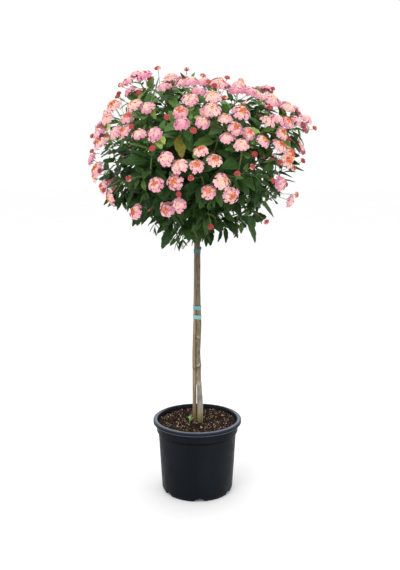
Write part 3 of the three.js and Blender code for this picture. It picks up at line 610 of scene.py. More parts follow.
def pick(test, edges=False):
    """In edit mode, selects the vertices whose place passes a test, or the edges between such vertices."""
    mesh = bmesh.from_edit_mesh(bpy.context.object.data)
    bpy.context.tool_settings.mesh_select_mode = (not edges, edges, False)
    for one in (*mesh.faces, *mesh.edges):
        one.select = False
    if edges:
        for edge in mesh.edges:
            edge.select = all(test(vertex.co) for vertex in edge.verts)
        mesh.select_flush_mode()
    else:
        for vertex in mesh.verts:
            vertex.select = bool(test(vertex.co))
        mesh.select_flush(True)
    bmesh.update_edit_mesh(bpy.context.object.data)


def move(x, y, z):
    bpy.ops.transform.translate(value=(x, y, z))


def resize(x, y, z, **options):
    bpy.ops.transform.resize(value=(x, y, z), **options)


def extrude(x, y, z, share=1.0):
    """Draws what is selected out by a distance, then widens it sideways by a share."""
    bpy.ops.mesh.extrude_region_move(TRANSFORM_OT_translate={"value": (x, y, z)})
    if share != 1.0:
        resize(share, share, 1)


def add_disc(sides, radius, height=0.0):
    """A filled circle to draw up, in edit mode, with all of it selected."""
    start_fresh()
    bpy.ops.mesh.primitive_circle_add(vertices=sides, radius=radius * MM, fill_type="NGON", location=ORIGIN)
    edit()
    select_everything()
    move(0, 0, height * MM)


def draw_round(outline, sides):
    """A round body from its outline of [radius, height], drawn up ring by ring and closed, in edit mode."""
    radius, height = outline[0]
    add_disc(sides, radius, height)
    for wide, tall in outline[1:]:
        pick(lambda co: abs(co.z - height * MM) < SAME_HEIGHT
             and abs(math.hypot(co.x, co.y) - radius * MM) < SAME_RADIUS, edges=True)
        extrude(0, 0, (tall - height) * MM, wide / radius)
        radius, height = wide, tall
    bpy.ops.mesh.edge_face_add()


def apply_all(piece):
    """Applies every modifier of a piece."""
    select_piece(piece)
    for modifier in list(piece.modifiers):
        bpy.ops.object.modifier_apply(modifier=modifier.name)


def settle(piece, name, slot, *nodes, smooth=None):
    """Puts the piece's place into its mesh, names it, hangs it from the root body and hides the solids it
    stands for.
    """
    piece.name = piece.data.name = name
    piece.data.transform(piece.matrix_basis)
    piece.matrix_basis.identity()
    if smooth is not None:
        select_piece(piece)
        bpy.ops.object.shade_smooth_by_angle(angle=math.radians(smooth))
    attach(piece, "root")
    if nodes:
        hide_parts(*nodes)
    return piece


def column_of(rows, key, kind=float, wide=1):
    """One value of every row of a mesh's data."""
    values = np.zeros(len(rows) * wide, kind)
    rows.foreach_get(key, values)
    return values


class Pattern:
    """A small modelled shape to be copied: its points, faces and, if it has one, its UV map."""

    def __init__(self, piece):
        data = piece.data
        self.points = column_of(data.vertices, "co", wide=3).reshape(-1, 3)
        self.loops = column_of(data.loops, "vertex_index", int)
        self.counts = column_of(data.polygons, "loop_total", int)
        self.uv = np.zeros((len(data.loops), 2))
        if data.uv_layers:
            self.uv = column_of(data.uv_layers.active.uv, "vector", wide=2).reshape(-1, 2)
        bpy.data.objects.remove(piece)
        bpy.data.meshes.remove(data)


class Heap:
    """Copies of patterns and drawn tubes, gathered into one mesh with a tint for each point."""

    def __init__(self):
        self.points, self.loops, self.counts, self.tints, self.uv, self.slots = [], [], [], [], [], []
        self.total = 0

    def put(self, points, loops, counts, tint, uv=None, slot=0):
        points = np.asarray(points, float)
        tint = np.asarray(tint, float)
        if tint.ndim == 1:
            tint = np.tile(tint, (len(points), 1))
        self.points.append(points)
        self.tints.append(tint)
        self.loops.append(np.asarray(loops) + self.total)
        self.counts.append(np.asarray(counts))
        self.uv.append(uv if uv is not None else np.zeros((len(loops), 2)))
        self.slots.append(np.full(len(counts), slot))
        self.total += len(points)

    def copy(self, pattern, points, tint, slot=0):
        self.put(points, pattern.loops, pattern.counts, tint, pattern.uv, slot)

    def stand(self, pattern, at, axes, wide, long, tint, slot=0):
        """A copy of a pattern, set at a place along its three axes and scaled across and along."""
        points = np.array(at)
        for values, axis, scale in zip(pattern.points.T, axes, (wide, wide, long)):
            points = points + np.outer(values * scale, axis)
        self.copy(pattern, points, tint, slot)

    def tube(self, line, radii, sides, tints, slot=0):
        """A round closed stem along a line of points, from ring to ring."""
        line = np.asarray(line, float)
        ways = np.gradient(line, axis=0)
        ways /= np.linalg.norm(ways, axis=1)[:, None]
        side = np.array(square_to(tuple(ways[0]), UP)[0])
        turns = np.arange(sides) * 2 * math.pi / sides
        rings = []
        for place, way, radius in zip(line, ways, radii):
            side = side - way * side.dot(way)
            side /= np.linalg.norm(side)
            lift = np.cross(way, side)
            rings.append(place + radius * (np.cos(turns)[:, None] * side + np.sin(turns)[:, None] * lift))
        loops, counts = [], []
        for i in range(len(line) - 1):
            a = i * sides
            for j in range(sides):
                k = (j + 1) % sides
                loops += [a + j, a + k, a + sides + k, a + sides + j]
                counts.append(4)
        loops += list(range(sides))[::-1] + [(len(line) - 1) * sides + j for j in range(sides)]
        counts += [sides, sides]
        shares = np.linspace(0, 1, len(line))[:, None]
        first, last = np.asarray(tints[0], float), np.asarray(tints[1], float)
        tint = np.repeat(first + (last - first) * shares, sides, axis=0)
        self.put(np.concatenate(rings), loops, counts, tint, slot=slot)

    def build(self, name, materials):
        mesh = bpy.data.meshes.new(name)
        points = np.concatenate(self.points) * MM
        loops = np.concatenate(self.loops)
        counts = np.concatenate(self.counts)
        mesh.vertices.add(len(points))
        mesh.vertices.foreach_set("co", points.ravel())
        mesh.loops.add(len(loops))
        mesh.loops.foreach_set("vertex_index", loops)
        mesh.polygons.add(len(counts))
        mesh.polygons.foreach_set("loop_start", np.concatenate([[0], np.cumsum(counts)[:-1]]))
        mesh.polygons.foreach_set("material_index", np.concatenate(self.slots))
        mesh.update(calc_edges=True)
        tints = np.concatenate(self.tints)
        tints = np.hstack([tints, np.ones((len(tints), 1))])
        mesh.color_attributes.new("tint", "FLOAT_COLOR", "POINT").data.foreach_set("color", tints.ravel())
        mesh.uv_layers.new(name="UVMap").uv.foreach_set("vector", np.concatenate(self.uv).ravel())
        for material in materials:
            mesh.materials.append(material)
        piece = bpy.data.objects.new(name, mesh)
        bpy.context.scene.collection.objects.link(piece)
        return piece


# ---------------------------------------------------------------- colours and materials
def shade(red, green, blue):
    """A colour as light, from its 0..255 screen values."""
    return tuple(c / 12.92 if c <= 0.04045 else ((c + 0.055) / 1.055) ** 2.4
                 for c in (red / 255, green / 255, blue / 255))


def on_light(color):
    """A setting's colour as light."""
    return shade(*(c * 255 for c in color))


def blend_colors(tones, t):
    """The colour at t along a list of (place, colour)."""
    places = [place for place, _ in tones]
    return np.array([np.interp(t, places, [color[i] for _, color in tones]) for i in range(3)]).T


def stops(*rows):
    """Colours along a blend, from rows of (place, red, green, blue)."""
    return [(place, shade(*color)) for place, *color in rows]


PETAL_TONES = stops((0, 242, 150, 72), (0.26, 248, 190, 128), (0.46, 251, 219, 204), (0.64, 242, 193, 201),
                    (0.86, 229, 153, 180), (1.1, 217, 114, 157), (1.35, 200, 84, 130))
THROAT_TONES = stops((0, 226, 116, 44), (0.35, 238, 158, 84), (0.6, 246, 206, 156), (0.9, 240, 186, 180),
                     (1.2, 216, 116, 150))
# The core dome and the outsides of the tubes: from the orange eye to the pink of the crowded tubes, painted
# deeper as the shade between the florets
CORE_SHADE_TONES = stops((0, 208, 108, 52), (0.35, 230, 142, 116), (0.6, 230, 146, 160), (1, 216, 116, 150),
                   (1.3, 188, 80, 122))
BUD_TONES = stops((-0.2, 176, 100, 40), (0, 216, 122, 46), (0.2, 240, 168, 84), (0.3, 222, 104, 60),
                  (0.7, 200, 78, 78))
CLOSED_BUD_TONES = stops((0, 226, 130, 112), (0.5, 200, 88, 88), (1, 150, 56, 62))
FIRST_PETAL_TONES = stops((0, 253, 226, 170), (1, 250, 184, 196))
LEAF_TONES = stops((0, 24, 50, 18), (0.5, 36, 70, 24), (0.85, 62, 96, 40), (1, 98, 122, 56))
MIX_TONES = stops((0, 34, 26, 20), (0.7, 70, 53, 42), (0.87, 134, 104, 82), (1, 222, 192, 168))
CHIP_TONES = stops((0, 70, 50, 38), (0.6, 112, 84, 62), (0.75, 168, 130, 102), (1, 224, 190, 158))
GRIT_TONES = stops((0, 196, 190, 178), (1, 244, 240, 232))
# Up the bole, by height; towards the top it darkens, partly the bark's browner tone and partly painted shadow
# under the head
BOLE_TONES = stops(
    (194, 126, 116, 76), (218, 162, 151, 122), (235, 169, 161, 146), (252, 143, 138, 126),
    (288, 138, 134, 120), (295, 152, 147, 130), (299, 176, 168, 148), (304, 150, 141, 122),
    (324, 140, 131, 112), (338, 116, 104, 86), (343, 100, 88, 70), (346.5, 78, 66, 48),
    (350, 178, 164, 142), (353, 158, 147, 126), (357, 126, 118, 100), (403, 118, 111, 94),
    (421, 114, 104, 84), (425, 84, 74, 54), (429, 172, 160, 138), (432.5, 136, 125, 104),
    (440, 124, 114, 92), (450, 122, 113, 91), (480, 118, 109, 88), (580, 109, 101, 86),
    (640, 103, 92, 74), (742, 88, 78, 58))
# How dark the cane is, by height and from side to side. Up it, it is darker near the soil and at its nick,
# and high up it is greyer and darker, partly the wood's own tone and partly painted shadow under the head;
# across it, painted shade darkens the side towards the trunk
CANE_HEIGHT_TONE_AND_SHADE = [
    (196, (0.46, 0.46, 0.31)), (218, (0.78, 0.8, 0.62)), (235, (0.92, 0.95, 0.84)), (262, (0.8, 0.86, 0.84)),
    (337, (0.78, 0.83, 0.82)), (341, (0.3, 0.3, 0.26)), (344, (0.8, 0.85, 0.8)), (425, (0.76, 0.8, 0.79)),
    (450, (0.93, 0.97, 1)), (500, (0.9, 0.95, 1)), (560, (0.72, 0.79, 0.88)), (700, (0.66, 0.74, 0.84)),
]
CANE_SIDE_SHADE = [(-4.5, (0.9, 0.93, 1)), (-1.5, (1, 1, 1)), (0.9, (1, 1, 1)), (3.1, (0.72, 0.68, 0.6))]
# Painted shade and painted highlights on the pot's rim: places up are shares of its upper band, places out
# are metres from its axis
RIM_BAND = (0.160, 0.202)
# Painted shade: the body is darkened in the groove under the collar's overhang
RIM_GROOVE_SHADE = [(0.02, 1), (0.095, 0.45), (0.19, 0.45), (0.22, 1)]
# Painted highlights: pale lines along the rim's outer edges, and a pale band along its top that fades towards
# the back, stand in for light reflected off the rolled rim
RIM_EDGE_HIGHLIGHT = [(0.724, 0), (0.746, 0.5), (0.773, 0.4), (0.795, 0.04), (0.919, 0.06), (0.945, 0.08),
            (0.976, 0.16), (0.987, 0.1)]
RIM_EDGE_HIGHLIGHT_OUT = [(0.1155, 0), (0.1175, 1)]
RIM_TOP_HIGHLIGHT_ACROSS = [(0.1085, 0), (0.11, 0.95), (0.115, 1), (0.1175, 0.4)]
RIM_TOP_HIGHLIGHT_UP = [(0.955, 0), (0.968, 1)]
RIM_TOP_HIGHLIGHT_TO_FRONT = (0.085, 0.03)
VEINS = {"slant": -0.62, "strength": 0.22, "side": [(0.8, 0), (1, 0.75)], "rib": [(0, 1), (0.045, 0)]}
# Flower heads up to each age, and the rings of each: how many florets or buds, how far out and up, how
# tilted, how wide and of what tone. reach, rise and wide are shares of the head's radius.
HEAD_AGES = [(0.13, "young"), (0.55, "fresh"), (0.85, "creamy"), (math.inf, "old")]
RING_KEYS = ("count", "reach", "tilt", "rise", "wide", "tone", "bud")
HEAD_RINGS = {age: [dict(zip(RING_KEYS, ring)) for ring in rings] for age, rings in {
    "young": [(8, 0.82, 52, 0.14, 0.3, 0.68, False), (7, 0.6, 44, 0.29, 0.22, 0.52, False),
              (8, 0.4, 40, 0.36, 0.12, 0.4, True), (6, 0.18, 20, 0.42, 0.12, 0.3, True)],
    "fresh": [(9, 0.85, 54, 0.12, 0.3, 0.94, False), (8, 0.62, 44, 0.28, 0.25, 0.66, False),
              (4, 0.45, 34, 0.37, 0.2, 0.48, False), (5, 0.34, 28, 0.4, 0.11, 0.26, True),
              (5, 0.26, 26, 0.42, 0.1, 0.16, True), (2, 0.08, 10, 0.45, 0.11, 0.06, True)],
    "creamy": [(10, 0.85, 56, 0.11, 0.28, 0.92, False), (9, 0.66, 44, 0.28, 0.24, 0.78, False),
               (6, 0.5, 38, 0.4, 0.22, 0.64, False),
               (5, 0.32, 24, 0.48, 0.2, 0.52, False), (3, 0.11, 8, 0.5, 0.13, 0.26, False)],
    "old": [(10, 0.85, 58, 0.1, 0.28, 1.1, False), (9, 0.66, 44, 0.28, 0.24, 0.96, False),
            (6, 0.52, 40, 0.4, 0.22, 0.86, False),
            (5, 0.35, 26, 0.48, 0.22, 0.78, False), (2, 0.11, 8, 0.52, 0.2, 0.6, False)],
}.items()}


class Finish:
    """A material being made, with short ways to add and join its nodes."""

    def __init__(self, name, roughness=0.5, specular=0.5):
        self.material = bpy.data.materials.new(name)
        self.material.use_nodes = True
        self.tree = self.material.node_tree
        self.shader = self.tree.nodes["Principled BSDF"]
        self.shader.inputs["Roughness"].default_value = roughness
        self.shader.inputs["Specular IOR Level"].default_value = specular

    def node(self, kind, **values):
        node = self.tree.nodes.new(kind)
        for key, value in values.items():
            if key in node.inputs:
                node.inputs[key].default_value = value
            else:
                setattr(node, key, value)
        return node

    def feed(self, socket, value):
        """Joins a node's input to an output, or sets it to a number or a colour."""
        if isinstance(value, bpy.types.NodeSocket):
            self.tree.links.new(value, socket)
        else:
            socket.default_value = (*value, 1) if socket.type == "RGBA" else value

    def place(self, scale=(1, 1, 1)):
        """The point on the piece, in metres, stretched."""
        mapping = self.node("ShaderNodeMapping", Scale=scale)
        self.feed(mapping.inputs["Vector"], self.node("ShaderNodeTexCoord").outputs["Object"])
        return mapping.outputs["Vector"]

    def noise(self, scale, detail=4.0, stretch=(1, 1, 1)):
        noise = self.node("ShaderNodeTexNoise", Scale=scale, Detail=detail)
        self.feed(noise.inputs["Vector"], self.place(stretch))
        return noise.outputs["Fac"]

    def calc(self, operation, *values, kind="ShaderNodeMath"):
        """A number worked out from numbers or, with its own kind of node, from points."""
        node = self.node(kind, operation=operation)
        for socket, value in zip(node.inputs, values):
            self.feed(socket, value)
        return node.outputs["Value"]

    def split(self, point):
        """The X, Y and Z of a point."""
        node = self.node("ShaderNodeSeparateXYZ")
        self.feed(node.inputs["Vector"], point)
        return node.outputs

    def share(self, value, low, high):
        """How far a value is on its way from low to high, in 0..1."""
        node = self.node("ShaderNodeMapRange", **{"From Min": low, "From Max": high})
        self.feed(node.inputs["Value"], value)
        return node.outputs["Result"]

    def ramp(self, value, *stops):
        """Colours or greys along a value: (place, colour) each."""
        ramp = self.node("ShaderNodeValToRGB")
        points = ramp.color_ramp.elements
        while len(points) < len(stops):
            points.new(0.5)
        for point, (place, color) in zip(points, stops):
            point.position = place
            color = color if isinstance(color, (tuple, list)) else (color,) * 3
            point.color = (*color, 1)
        self.feed(ramp.inputs["Fac"], value)
        return ramp.outputs["Color"]

    def mix(self, kind, share, first, second):
        mixer = self.node("ShaderNodeMix", data_type="RGBA", blend_type=kind)
        for name, value in (("Factor_Float", share), ("A_Color", first), ("B_Color", second)):
            self.feed(next(socket for socket in mixer.inputs if socket.identifier == name), value)
        return next(socket for socket in mixer.outputs if socket.identifier == "Result_Color")

    def times(self, first, second, share=1.0):
        return self.mix("MULTIPLY", share, first, second)

    def tint(self):
        return self.node("ShaderNodeAttribute", attribute_name="tint").outputs["Color"]

    def color(self, value):
        self.feed(self.shader.inputs["Base Color"], value)

    def rough(self, value):
        self.feed(self.shader.inputs["Roughness"], value)

    def bump(self, height, depth_mm, strength=1.0):
        bump = self.node("ShaderNodeBump", Strength=strength, Distance=depth_mm * MM)
        self.feed(bump.inputs["Height"], height)
        self.feed(self.shader.inputs["Normal"], bump.outputs["Normal"])


def leaf_finish(values):
    """Wrinkled leaf: a paler midrib and side veins that follow the blade, on a tint for each leaf."""
    finish = Finish("wrinkled_leaf", roughness=0.5, specular=0.22)
    blade = finish.split(finish.node("ShaderNodeUVMap", uv_map="UVMap").outputs["UV"])
    out = finish.calc("ABSOLUTE", finish.calc("SUBTRACT", blade["X"], 0.5))
    slant = finish.calc("MULTIPLY_ADD", out, VEINS["slant"], blade["Y"])
    wave = finish.calc("COSINE", finish.calc("MULTIPLY", slant, values.side_veins * 2 * math.pi))
    lines = finish.mix("LIGHTEN", 1.0, finish.ramp(wave, *VEINS["side"]), finish.ramp(out, *VEINS["rib"]))
    ground = finish.times(finish.tint(), finish.ramp(finish.noise(90, 3), (0.3, 0.72), (0.7, 1.2)))
    light = finish.mix("MIX", VEINS["strength"], ground, on_light(values.vein))
    finish.color(finish.mix("MIX", lines, ground, light))
    quilt = finish.times(finish.ramp(wave, (0, 1), (1, 0)),
                         finish.ramp(finish.noise(900, 2), (0.2, 0.6), (0.8, 1)))
    finish.bump(quilt, 0.5, 0.55)
    finish.rough(finish.ramp(finish.noise(350, 2), (0.3, 0.42), (0.7, 0.6)))
    return finish.material


def stem_finish():
    """Green young stems, browner where they are older, finely mottled and bumped."""
    finish = Finish("green_stem", roughness=0.6, specular=0.3)
    finish.color(finish.times(finish.tint(), finish.ramp(finish.noise(600, 3), (0.35, 0.8), (0.65, 1.15))))
    finish.bump(finish.noise(1200, 2), 0.2, 0.5)
    return finish.material


def petal_finish():
    """Soft petals whose colours lie in the tint, from throat to edge."""
    finish = Finish("flower_petal", roughness=0.62, specular=0.2)
    finish.color(finish.times(finish.tint(), finish.ramp(finish.noise(500, 3), (0.3, 0.95), (0.7, 1.04))))
    finish.bump(finish.noise(1500, 2), 0.15, 0.4)
    return finish.material


def pot_finish(values):
    """Dark moulded plastic, dusty in places, with painted shade in the groove below the rim and painted
    highlights in pale bands on the rim.
    """
    finish = Finish("moulded_pot", roughness=0.42, specular=0.05)
    base = on_light(values.pot)
    dusty = tuple(c * 1.5 + 0.002 for c in base)
    cloud = finish.ramp(finish.noise(14, 5, (1, 1, 0.35)), (0.45, base), (0.8, dusty))
    scuff = finish.ramp(finish.noise(55, 6, (1, 1, 5)), (0.64, 0), (0.74, 0.4))
    body = finish.mix("MIX", scuff, cloud, dusty)
    place = finish.split(finish.place())
    up = finish.share(place["Z"], *RIM_BAND)
    out = finish.calc("LENGTH", finish.place((1, 1, 0)), kind="ShaderNodeVectorMath")
    # Painted highlight on the rim's outer edges and along its top, the top's band fading towards the back
    edge = finish.times(finish.ramp(up, *RIM_EDGE_HIGHLIGHT), finish.ramp(out, *RIM_EDGE_HIGHLIGHT_OUT))
    top = finish.times(finish.ramp(out, *RIM_TOP_HIGHLIGHT_ACROSS), finish.ramp(up, *RIM_TOP_HIGHLIGHT_UP))
    painted_highlight = finish.mix("LIGHTEN", 1.0, edge, finish.times(top, finish.share(place["Y"], *RIM_TOP_HIGHLIGHT_TO_FRONT)))
    # Painted shade in the groove under the collar
    body_with_groove_shade = finish.times(body, finish.ramp(up, *RIM_GROOVE_SHADE))
    finish.color(finish.mix("MIX", painted_highlight, body_with_groove_shade, on_light(values.rim)))
    finish.rough(finish.ramp(finish.noise(40, 5), (0.3, 0.32), (0.75, 0.55)))
    finish.bump(finish.noise(420, 3), 0.12, 0.5)
    return finish.material


def soil_finish():
    finish = Finish("potting_mix", roughness=0.95, specular=0.12)
    finish.color(finish.ramp(finish.noise(260, 6), *stops((0.32, 20, 15, 12), (0.7, 50, 38, 30))))
    finish.bump(finish.noise(780, 5), 0.9, 0.9)
    return finish.material


def crumb_finish(name, scale):
    """Lumps of one kind, each with its own tint, speckled."""
    finish = Finish(name, roughness=0.92, specular=0.15)
    finish.color(finish.times(finish.tint(), finish.ramp(finish.noise(scale, 5), (0.3, 0.62), (0.7, 1.2))))
    finish.bump(finish.noise(scale * 2, 4), 0.4, 0.7)
    return finish.material


def bark_finish():
    """Mottled grey bark on the tint, finely ridged along its length."""
    finish = Finish("trunk_bark", roughness=0.85, specular=0.15)
    ridges = finish.noise(300, 6, (1, 1, 0.2))
    mottle = finish.ramp(finish.noise(150, 5, (1, 1, 0.5)), (0.36, 0.68), (0.5, 0.96), (0.66, 1.14))
    lines = finish.ramp(ridges, (0.3, 0.72), (0.62, 1.1))
    finish.color(finish.times(finish.times(finish.tint(), mottle), lines, 0.7))
    finish.bump(ridges, 1.2, 0.7)
    return finish.material


def cane_finish():
    """Dry wood with long grain and stains, times the tint."""
    finish = Finish("dry_cane", roughness=0.6, specular=0.3)
    grain = finish.noise(420, 5, (1, 1, 0.04))
    tone = finish.ramp(grain, *stops((0.3, 134, 110, 86), (0.7, 182, 156, 128)))
    stain = finish.ramp(finish.noise(30, 4, (1, 1, 0.4)), (0.35, 0.7), (0.65, 1.08))
    finish.color(finish.times(finish.times(tone, stain), finish.tint()))
    finish.bump(grain, 0.4, 0.5)
    return finish.material


def tape_finish(name, color):
    """Stretched tape with bumped folds, painted darker in their hollows as shade and paler on their ridges as
    light.
    """
    finish = Finish(name, roughness=0.34, specular=0.5)
    folds_and_shade = finish.noise(260, 3, (0.3, 0.3, 2.5))
    base = shade(*color)
    finish.color(finish.ramp(folds_and_shade, (0.3, scaled(base, 0.72)), (0.7, scaled(base, 1.2))))
    finish.bump(folds_and_shade, 0.5, 0.6)
    return finish.material


def floor_finish():
    finish = Finish("pale_floor", roughness=0.9, specular=0.1)
    finish.color(finish.ramp(finish.noise(3, 2), (0.3, 0.985), (0.7, 1)))
    return finish.material


# ---------------------------------------------------------------- shapes that are copied
def leaf_pattern():
    """An ovate blade with a toothed edge, one long and two across, its two faces a unit apart."""
    start_fresh()
    stations = [0, 0.09, 0.2, 0.33, 0.46, 0.6, 0.74, 0.88, 1]
    rows, columns = len(stations) - 1, 4
    stem_end, tip, near = 0.09, 0.004, 1e-4
    ahead = 10  # rows in their final place stand ahead of the others, so that none is picked twice
    bpy.ops.mesh.primitive_grid_add(x_subdivisions=columns, y_subdivisions=rows, size=2, location=ORIGIN)
    piece = bpy.context.object
    edit()
    for row, station in enumerate(stations):
        y = -1 + 2 * row / rows
        pick(lambda co: abs(co.y - y) < near)
        wide = max(blade_width(station), stem_end if row == 0 else tip)
        wide *= 1.05 if row % 2 else 0.95
        resize(wide, 1, 1)
        move(0, station + ahead - y, 0)
    for station in stations[1::2]:  # the tips of the teeth lean forward
        pick(lambda co: abs(co.y - station - ahead) < near and abs(co.x) > 0.8 * blade_width(station))
        move(0, 0.03, 0)
    # Each half of the blade arches between rib and edge
    pick(lambda co: abs(abs(co.x) - 0.5 * blade_width(co.y - ahead)) < 0.12
         and ahead + 0.05 < co.y < ahead + 0.95)
    move(0, 0, 1.8)
    select_everything()
    move(0, -ahead, 0)
    bpy.ops.mesh.duplicate()
    bpy.ops.mesh.flip_normals()
    # The lower face drops away from the upper one, but for its edge
    mesh = bmesh.from_edit_mesh(piece.data)
    for vertex in mesh.verts:
        if not all(len(edge.link_faces) == 2 for edge in vertex.link_edges):
            vertex.select = False
    mesh.select_flush(False)
    bmesh.update_edit_mesh(piece.data)
    move(0, 0, -1)
    select_everything()
    bpy.ops.mesh.remove_doubles(threshold=0.012)
    return Pattern(done())


def floret_pattern():
    """A floret one in radius: five lobes round a throat, and a slender tube below it."""

    def from_axis(co):
        return math.hypot(co.x, co.y)

    def is_between_lobes(co):
        step = (math.atan2(co.y, co.x) / (2 * math.pi) * 15) % 3
        return step < 0.5 or step > 2.5

    start_fresh()
    bpy.ops.mesh.primitive_circle_add(vertices=15, radius=1, fill_type="NOTHING", location=ORIGIN)
    edit()
    pick(is_between_lobes)
    resize(0.72, 0.72, 1)
    move(0, 0, -0.05)
    pick(lambda co: from_axis(co) > 0.9)
    move(0, 0, -0.16)
    bpy.ops.mesh.select_all(action="DESELECT")
    bpy.ops.mesh.primitive_circle_add(vertices=5, radius=0.24, location=(0, 0, 0.08))
    pick(lambda co: from_axis(co) > 0.5 or co.z > 0.05, edges=True)
    bpy.ops.mesh.bridge_edge_loops()
    pick(lambda co: from_axis(co) < 0.3)
    extrude(0, 0, -0.2)
    bpy.ops.mesh.merge(type="CENTER")
    bpy.ops.mesh.select_all(action="DESELECT")
    bpy.ops.mesh.primitive_circle_add(vertices=5, radius=0.2, location=(0, 0, -0.3))
    pick(lambda co: from_axis(co) > 0.5 or co.z < -0.25, edges=True)
    bpy.ops.mesh.bridge_edge_loops()
    pick(lambda co: co.z < -0.25, edges=True)
    extrude(0, 0, -2, 0.6)
    bpy.ops.mesh.edge_face_add()
    return Pattern(face_outwards())


def add_ball(fine):
    start_fresh()
    bpy.ops.mesh.primitive_ico_sphere_add(subdivisions=fine, radius=1, location=ORIGIN)
    edit()


def core_pattern():
    """The low dome that the florets of a head stand on, one in radius, its underside flatter."""
    add_ball(2)
    pick(lambda co: co.z < -0.01)
    resize(1, 1, 0.3, center_override=ORIGIN)
    return Pattern(done())


def bud_pattern():
    """An unopened floret: a blunt swollen tip on a narrow foot, two tall."""
    add_ball(1)
    pick(lambda co: co.z < -0.2)
    resize(0.5, 0.5, 1.4)
    pick(lambda co: co.z > 0.9)
    move(0, 0, -0.3)
    return Pattern(done())


def lump_pattern(fine, seed, flat):
    """A lump of soil, grit or bark: a round stone with its corners knocked about."""
    add_ball(fine)
    resize(1, 0.8, flat)
    bpy.ops.transform.vertex_random(offset=0.24, uniform=0.0, normal=0.0, seed=seed)
    return Pattern(done())


def bract_pattern():
    """A narrow green bract, one long, folded along its middle."""
    start_fresh()
    bpy.ops.mesh.primitive_grid_add(x_subdivisions=2, y_subdivisions=2, size=2, location=ORIGIN)
    edit()
    pick(lambda co: co.y > 0.5)
    resize(0.05, 1, 1)
    pick(lambda co: co.y < -0.5)
    resize(0.5, 1, 1)
    pick(lambda co: abs(co.x) < 0.01 and abs(co.y) < 0.5)
    move(0, 0, -0.4)
    select_everything()
    move(0, 1, 0)
    resize(0.2, 0.5, 0.25, center_override=ORIGIN)
    piece = done()
    piece.modifiers.new("wall", "SOLIDIFY").thickness = 0.05
    apply_all(piece)
    return Pattern(piece)


# ---------------------------------------------------------------- pot, soil, cane and ties
def make_pot(values):
    """A turned pot with a rolled rim, a stepped collar and arched notches round its foot."""
    draw_round(POT_OUTLINE, POT["sides"])
    pot = face_outwards()
    cut_notches(pot)
    pot.data.materials.append(pot_finish(values))
    return settle(pot, "nursery_pot", "pot", "pot", smooth=32)


def cut_notches(pot):
    long = POT["heel_radius"] - POT["foot_inner"] + 2 * POT["notch_past"]
    away = (POT["foot_inner"] - POT["notch_past"] + long / 2) * MM
    half_width = POT["notch_width"] / 2
    cutters = []
    for i in range(POT["notches"]):
        turn = math.radians(POT["notch_turn"] + i * 360 / POT["notches"])
        start_fresh()
        bpy.ops.mesh.primitive_cylinder_add(
            vertices=36, radius=half_width * MM, depth=long * MM,
            location=(away * math.sin(turn), -away * math.cos(turn), 0), rotation=(math.pi / 2, 0, turn),
            scale=(1, POT["notch_height"] / half_width, 1))
        cutters.append(bpy.context.object)
    select_piece(cutters[0])
    for cutter in cutters:
        cutter.select_set(True)
    bpy.ops.object.join()
    cutter = bpy.context.object
    notch = pot.modifiers.new("notches", "BOOLEAN")
    notch.operation, notch.solver, notch.object = "DIFFERENCE", "EXACT", cutter
    apply_all(pot)
    bpy.data.objects.remove(cutter)


def soil_top(x, y):
    """The height of the mix: gently waved, and banked up all round the trunk's hollow."""
    wave = math.sin(x * 0.061 + 1.3) * math.cos(y * 0.052) + 0.6 * math.sin(x * 0.11 - y * 0.093)
    out = (math.hypot(x, y) - SOIL["bank_from"]) / SOIL["bank_over"]
    return SOIL["height"] + SOIL["raised"] + SOIL["waves"] * wave + SOIL["banked"] * min(1, max(0, out))


def make_soil():
    """The body of potting mix, with a lumpy top."""
    rings = range(SOIL["top_rings"])
    # Each ring of the top is a trace higher than the last, and stays apart from it in the picking
    top = [(SOIL["top_radius"] - SOIL["ring_step"] * i, SOIL["height"] + 0.001 * i) for i in rings]
    draw_round(SOIL_OUTLINE + top, SOIL["sides"])
    above = (SOIL["height"] - 0.1) * MM
    pick(lambda co: co.z > above)
    bpy.ops.mesh.subdivide(number_cuts=1)
    soil = face_outwards()
    draw = seeded("soil")
    # In the order of their places, since the order in which an extrusion makes them can change
    for vertex in sorted(soil.data.vertices, key=lambda vertex: tuple(vertex.co)):
        if vertex.co.z > above:
            level = soil_top(vertex.co.x / MM, vertex.co.y / MM) - SOIL["below_lumps"]
            vertex.co.z = (level + SOIL["rough"] * (draw() - 0.55)) * MM
    soil.data.materials.append(soil_finish())
    return settle(soil, "potting_mix", "soil", "soil", smooth=60)


def scatter(heap, pattern, count, draw, small, large, tones):
    """Copies of a lump all over the soil, none in the trunk or the cane."""
    trunk_x, _, trunk_radius = TRUNK[0]
    placed = 0
    while placed < count:
        turn, out = draw() * 2 * math.pi, SOIL["reach"] * math.sqrt(draw())
        x, y = out * math.sin(turn), out * math.cos(turn)
        scale = small + (large - small) * draw() ** 2
        from_trunk = math.hypot(x - trunk_x, y) - trunk_radius
        if min(from_trunk, math.hypot(x - CANE["x"], y) - CANE["clear"]) < scale:
            continue
        spin = tumbled(draw() * 6.28, (draw() - 0.5) * 1.1, (draw() - 0.5) * 1.1)
        at = np.array([x, y, soil_top(x, y) + scale * (0.15 + 0.4 * draw())])
        heap.copy(pattern, (pattern.points * scale) @ spin.T + at, blend_colors(tones, draw()))
        placed += 1


def tumbled(about_z, about_x, about_y):
    """A turn about three axes, as a table to multiply points with."""
    cz, sz, cx, sx, cy, sy = (f(a) for a in (about_z, about_x, about_y) for f in (math.cos, math.sin))
    z = np.array([[cz, -sz, 0], [sz, cz, 0], [0, 0, 1]])
    x = np.array([[1, 0, 0], [0, cx, -sx], [0, sx, cx]])
    y = np.array([[cy, 0, sy], [0, 1, 0], [-sy, 0, cy]])
    return z @ x @ y


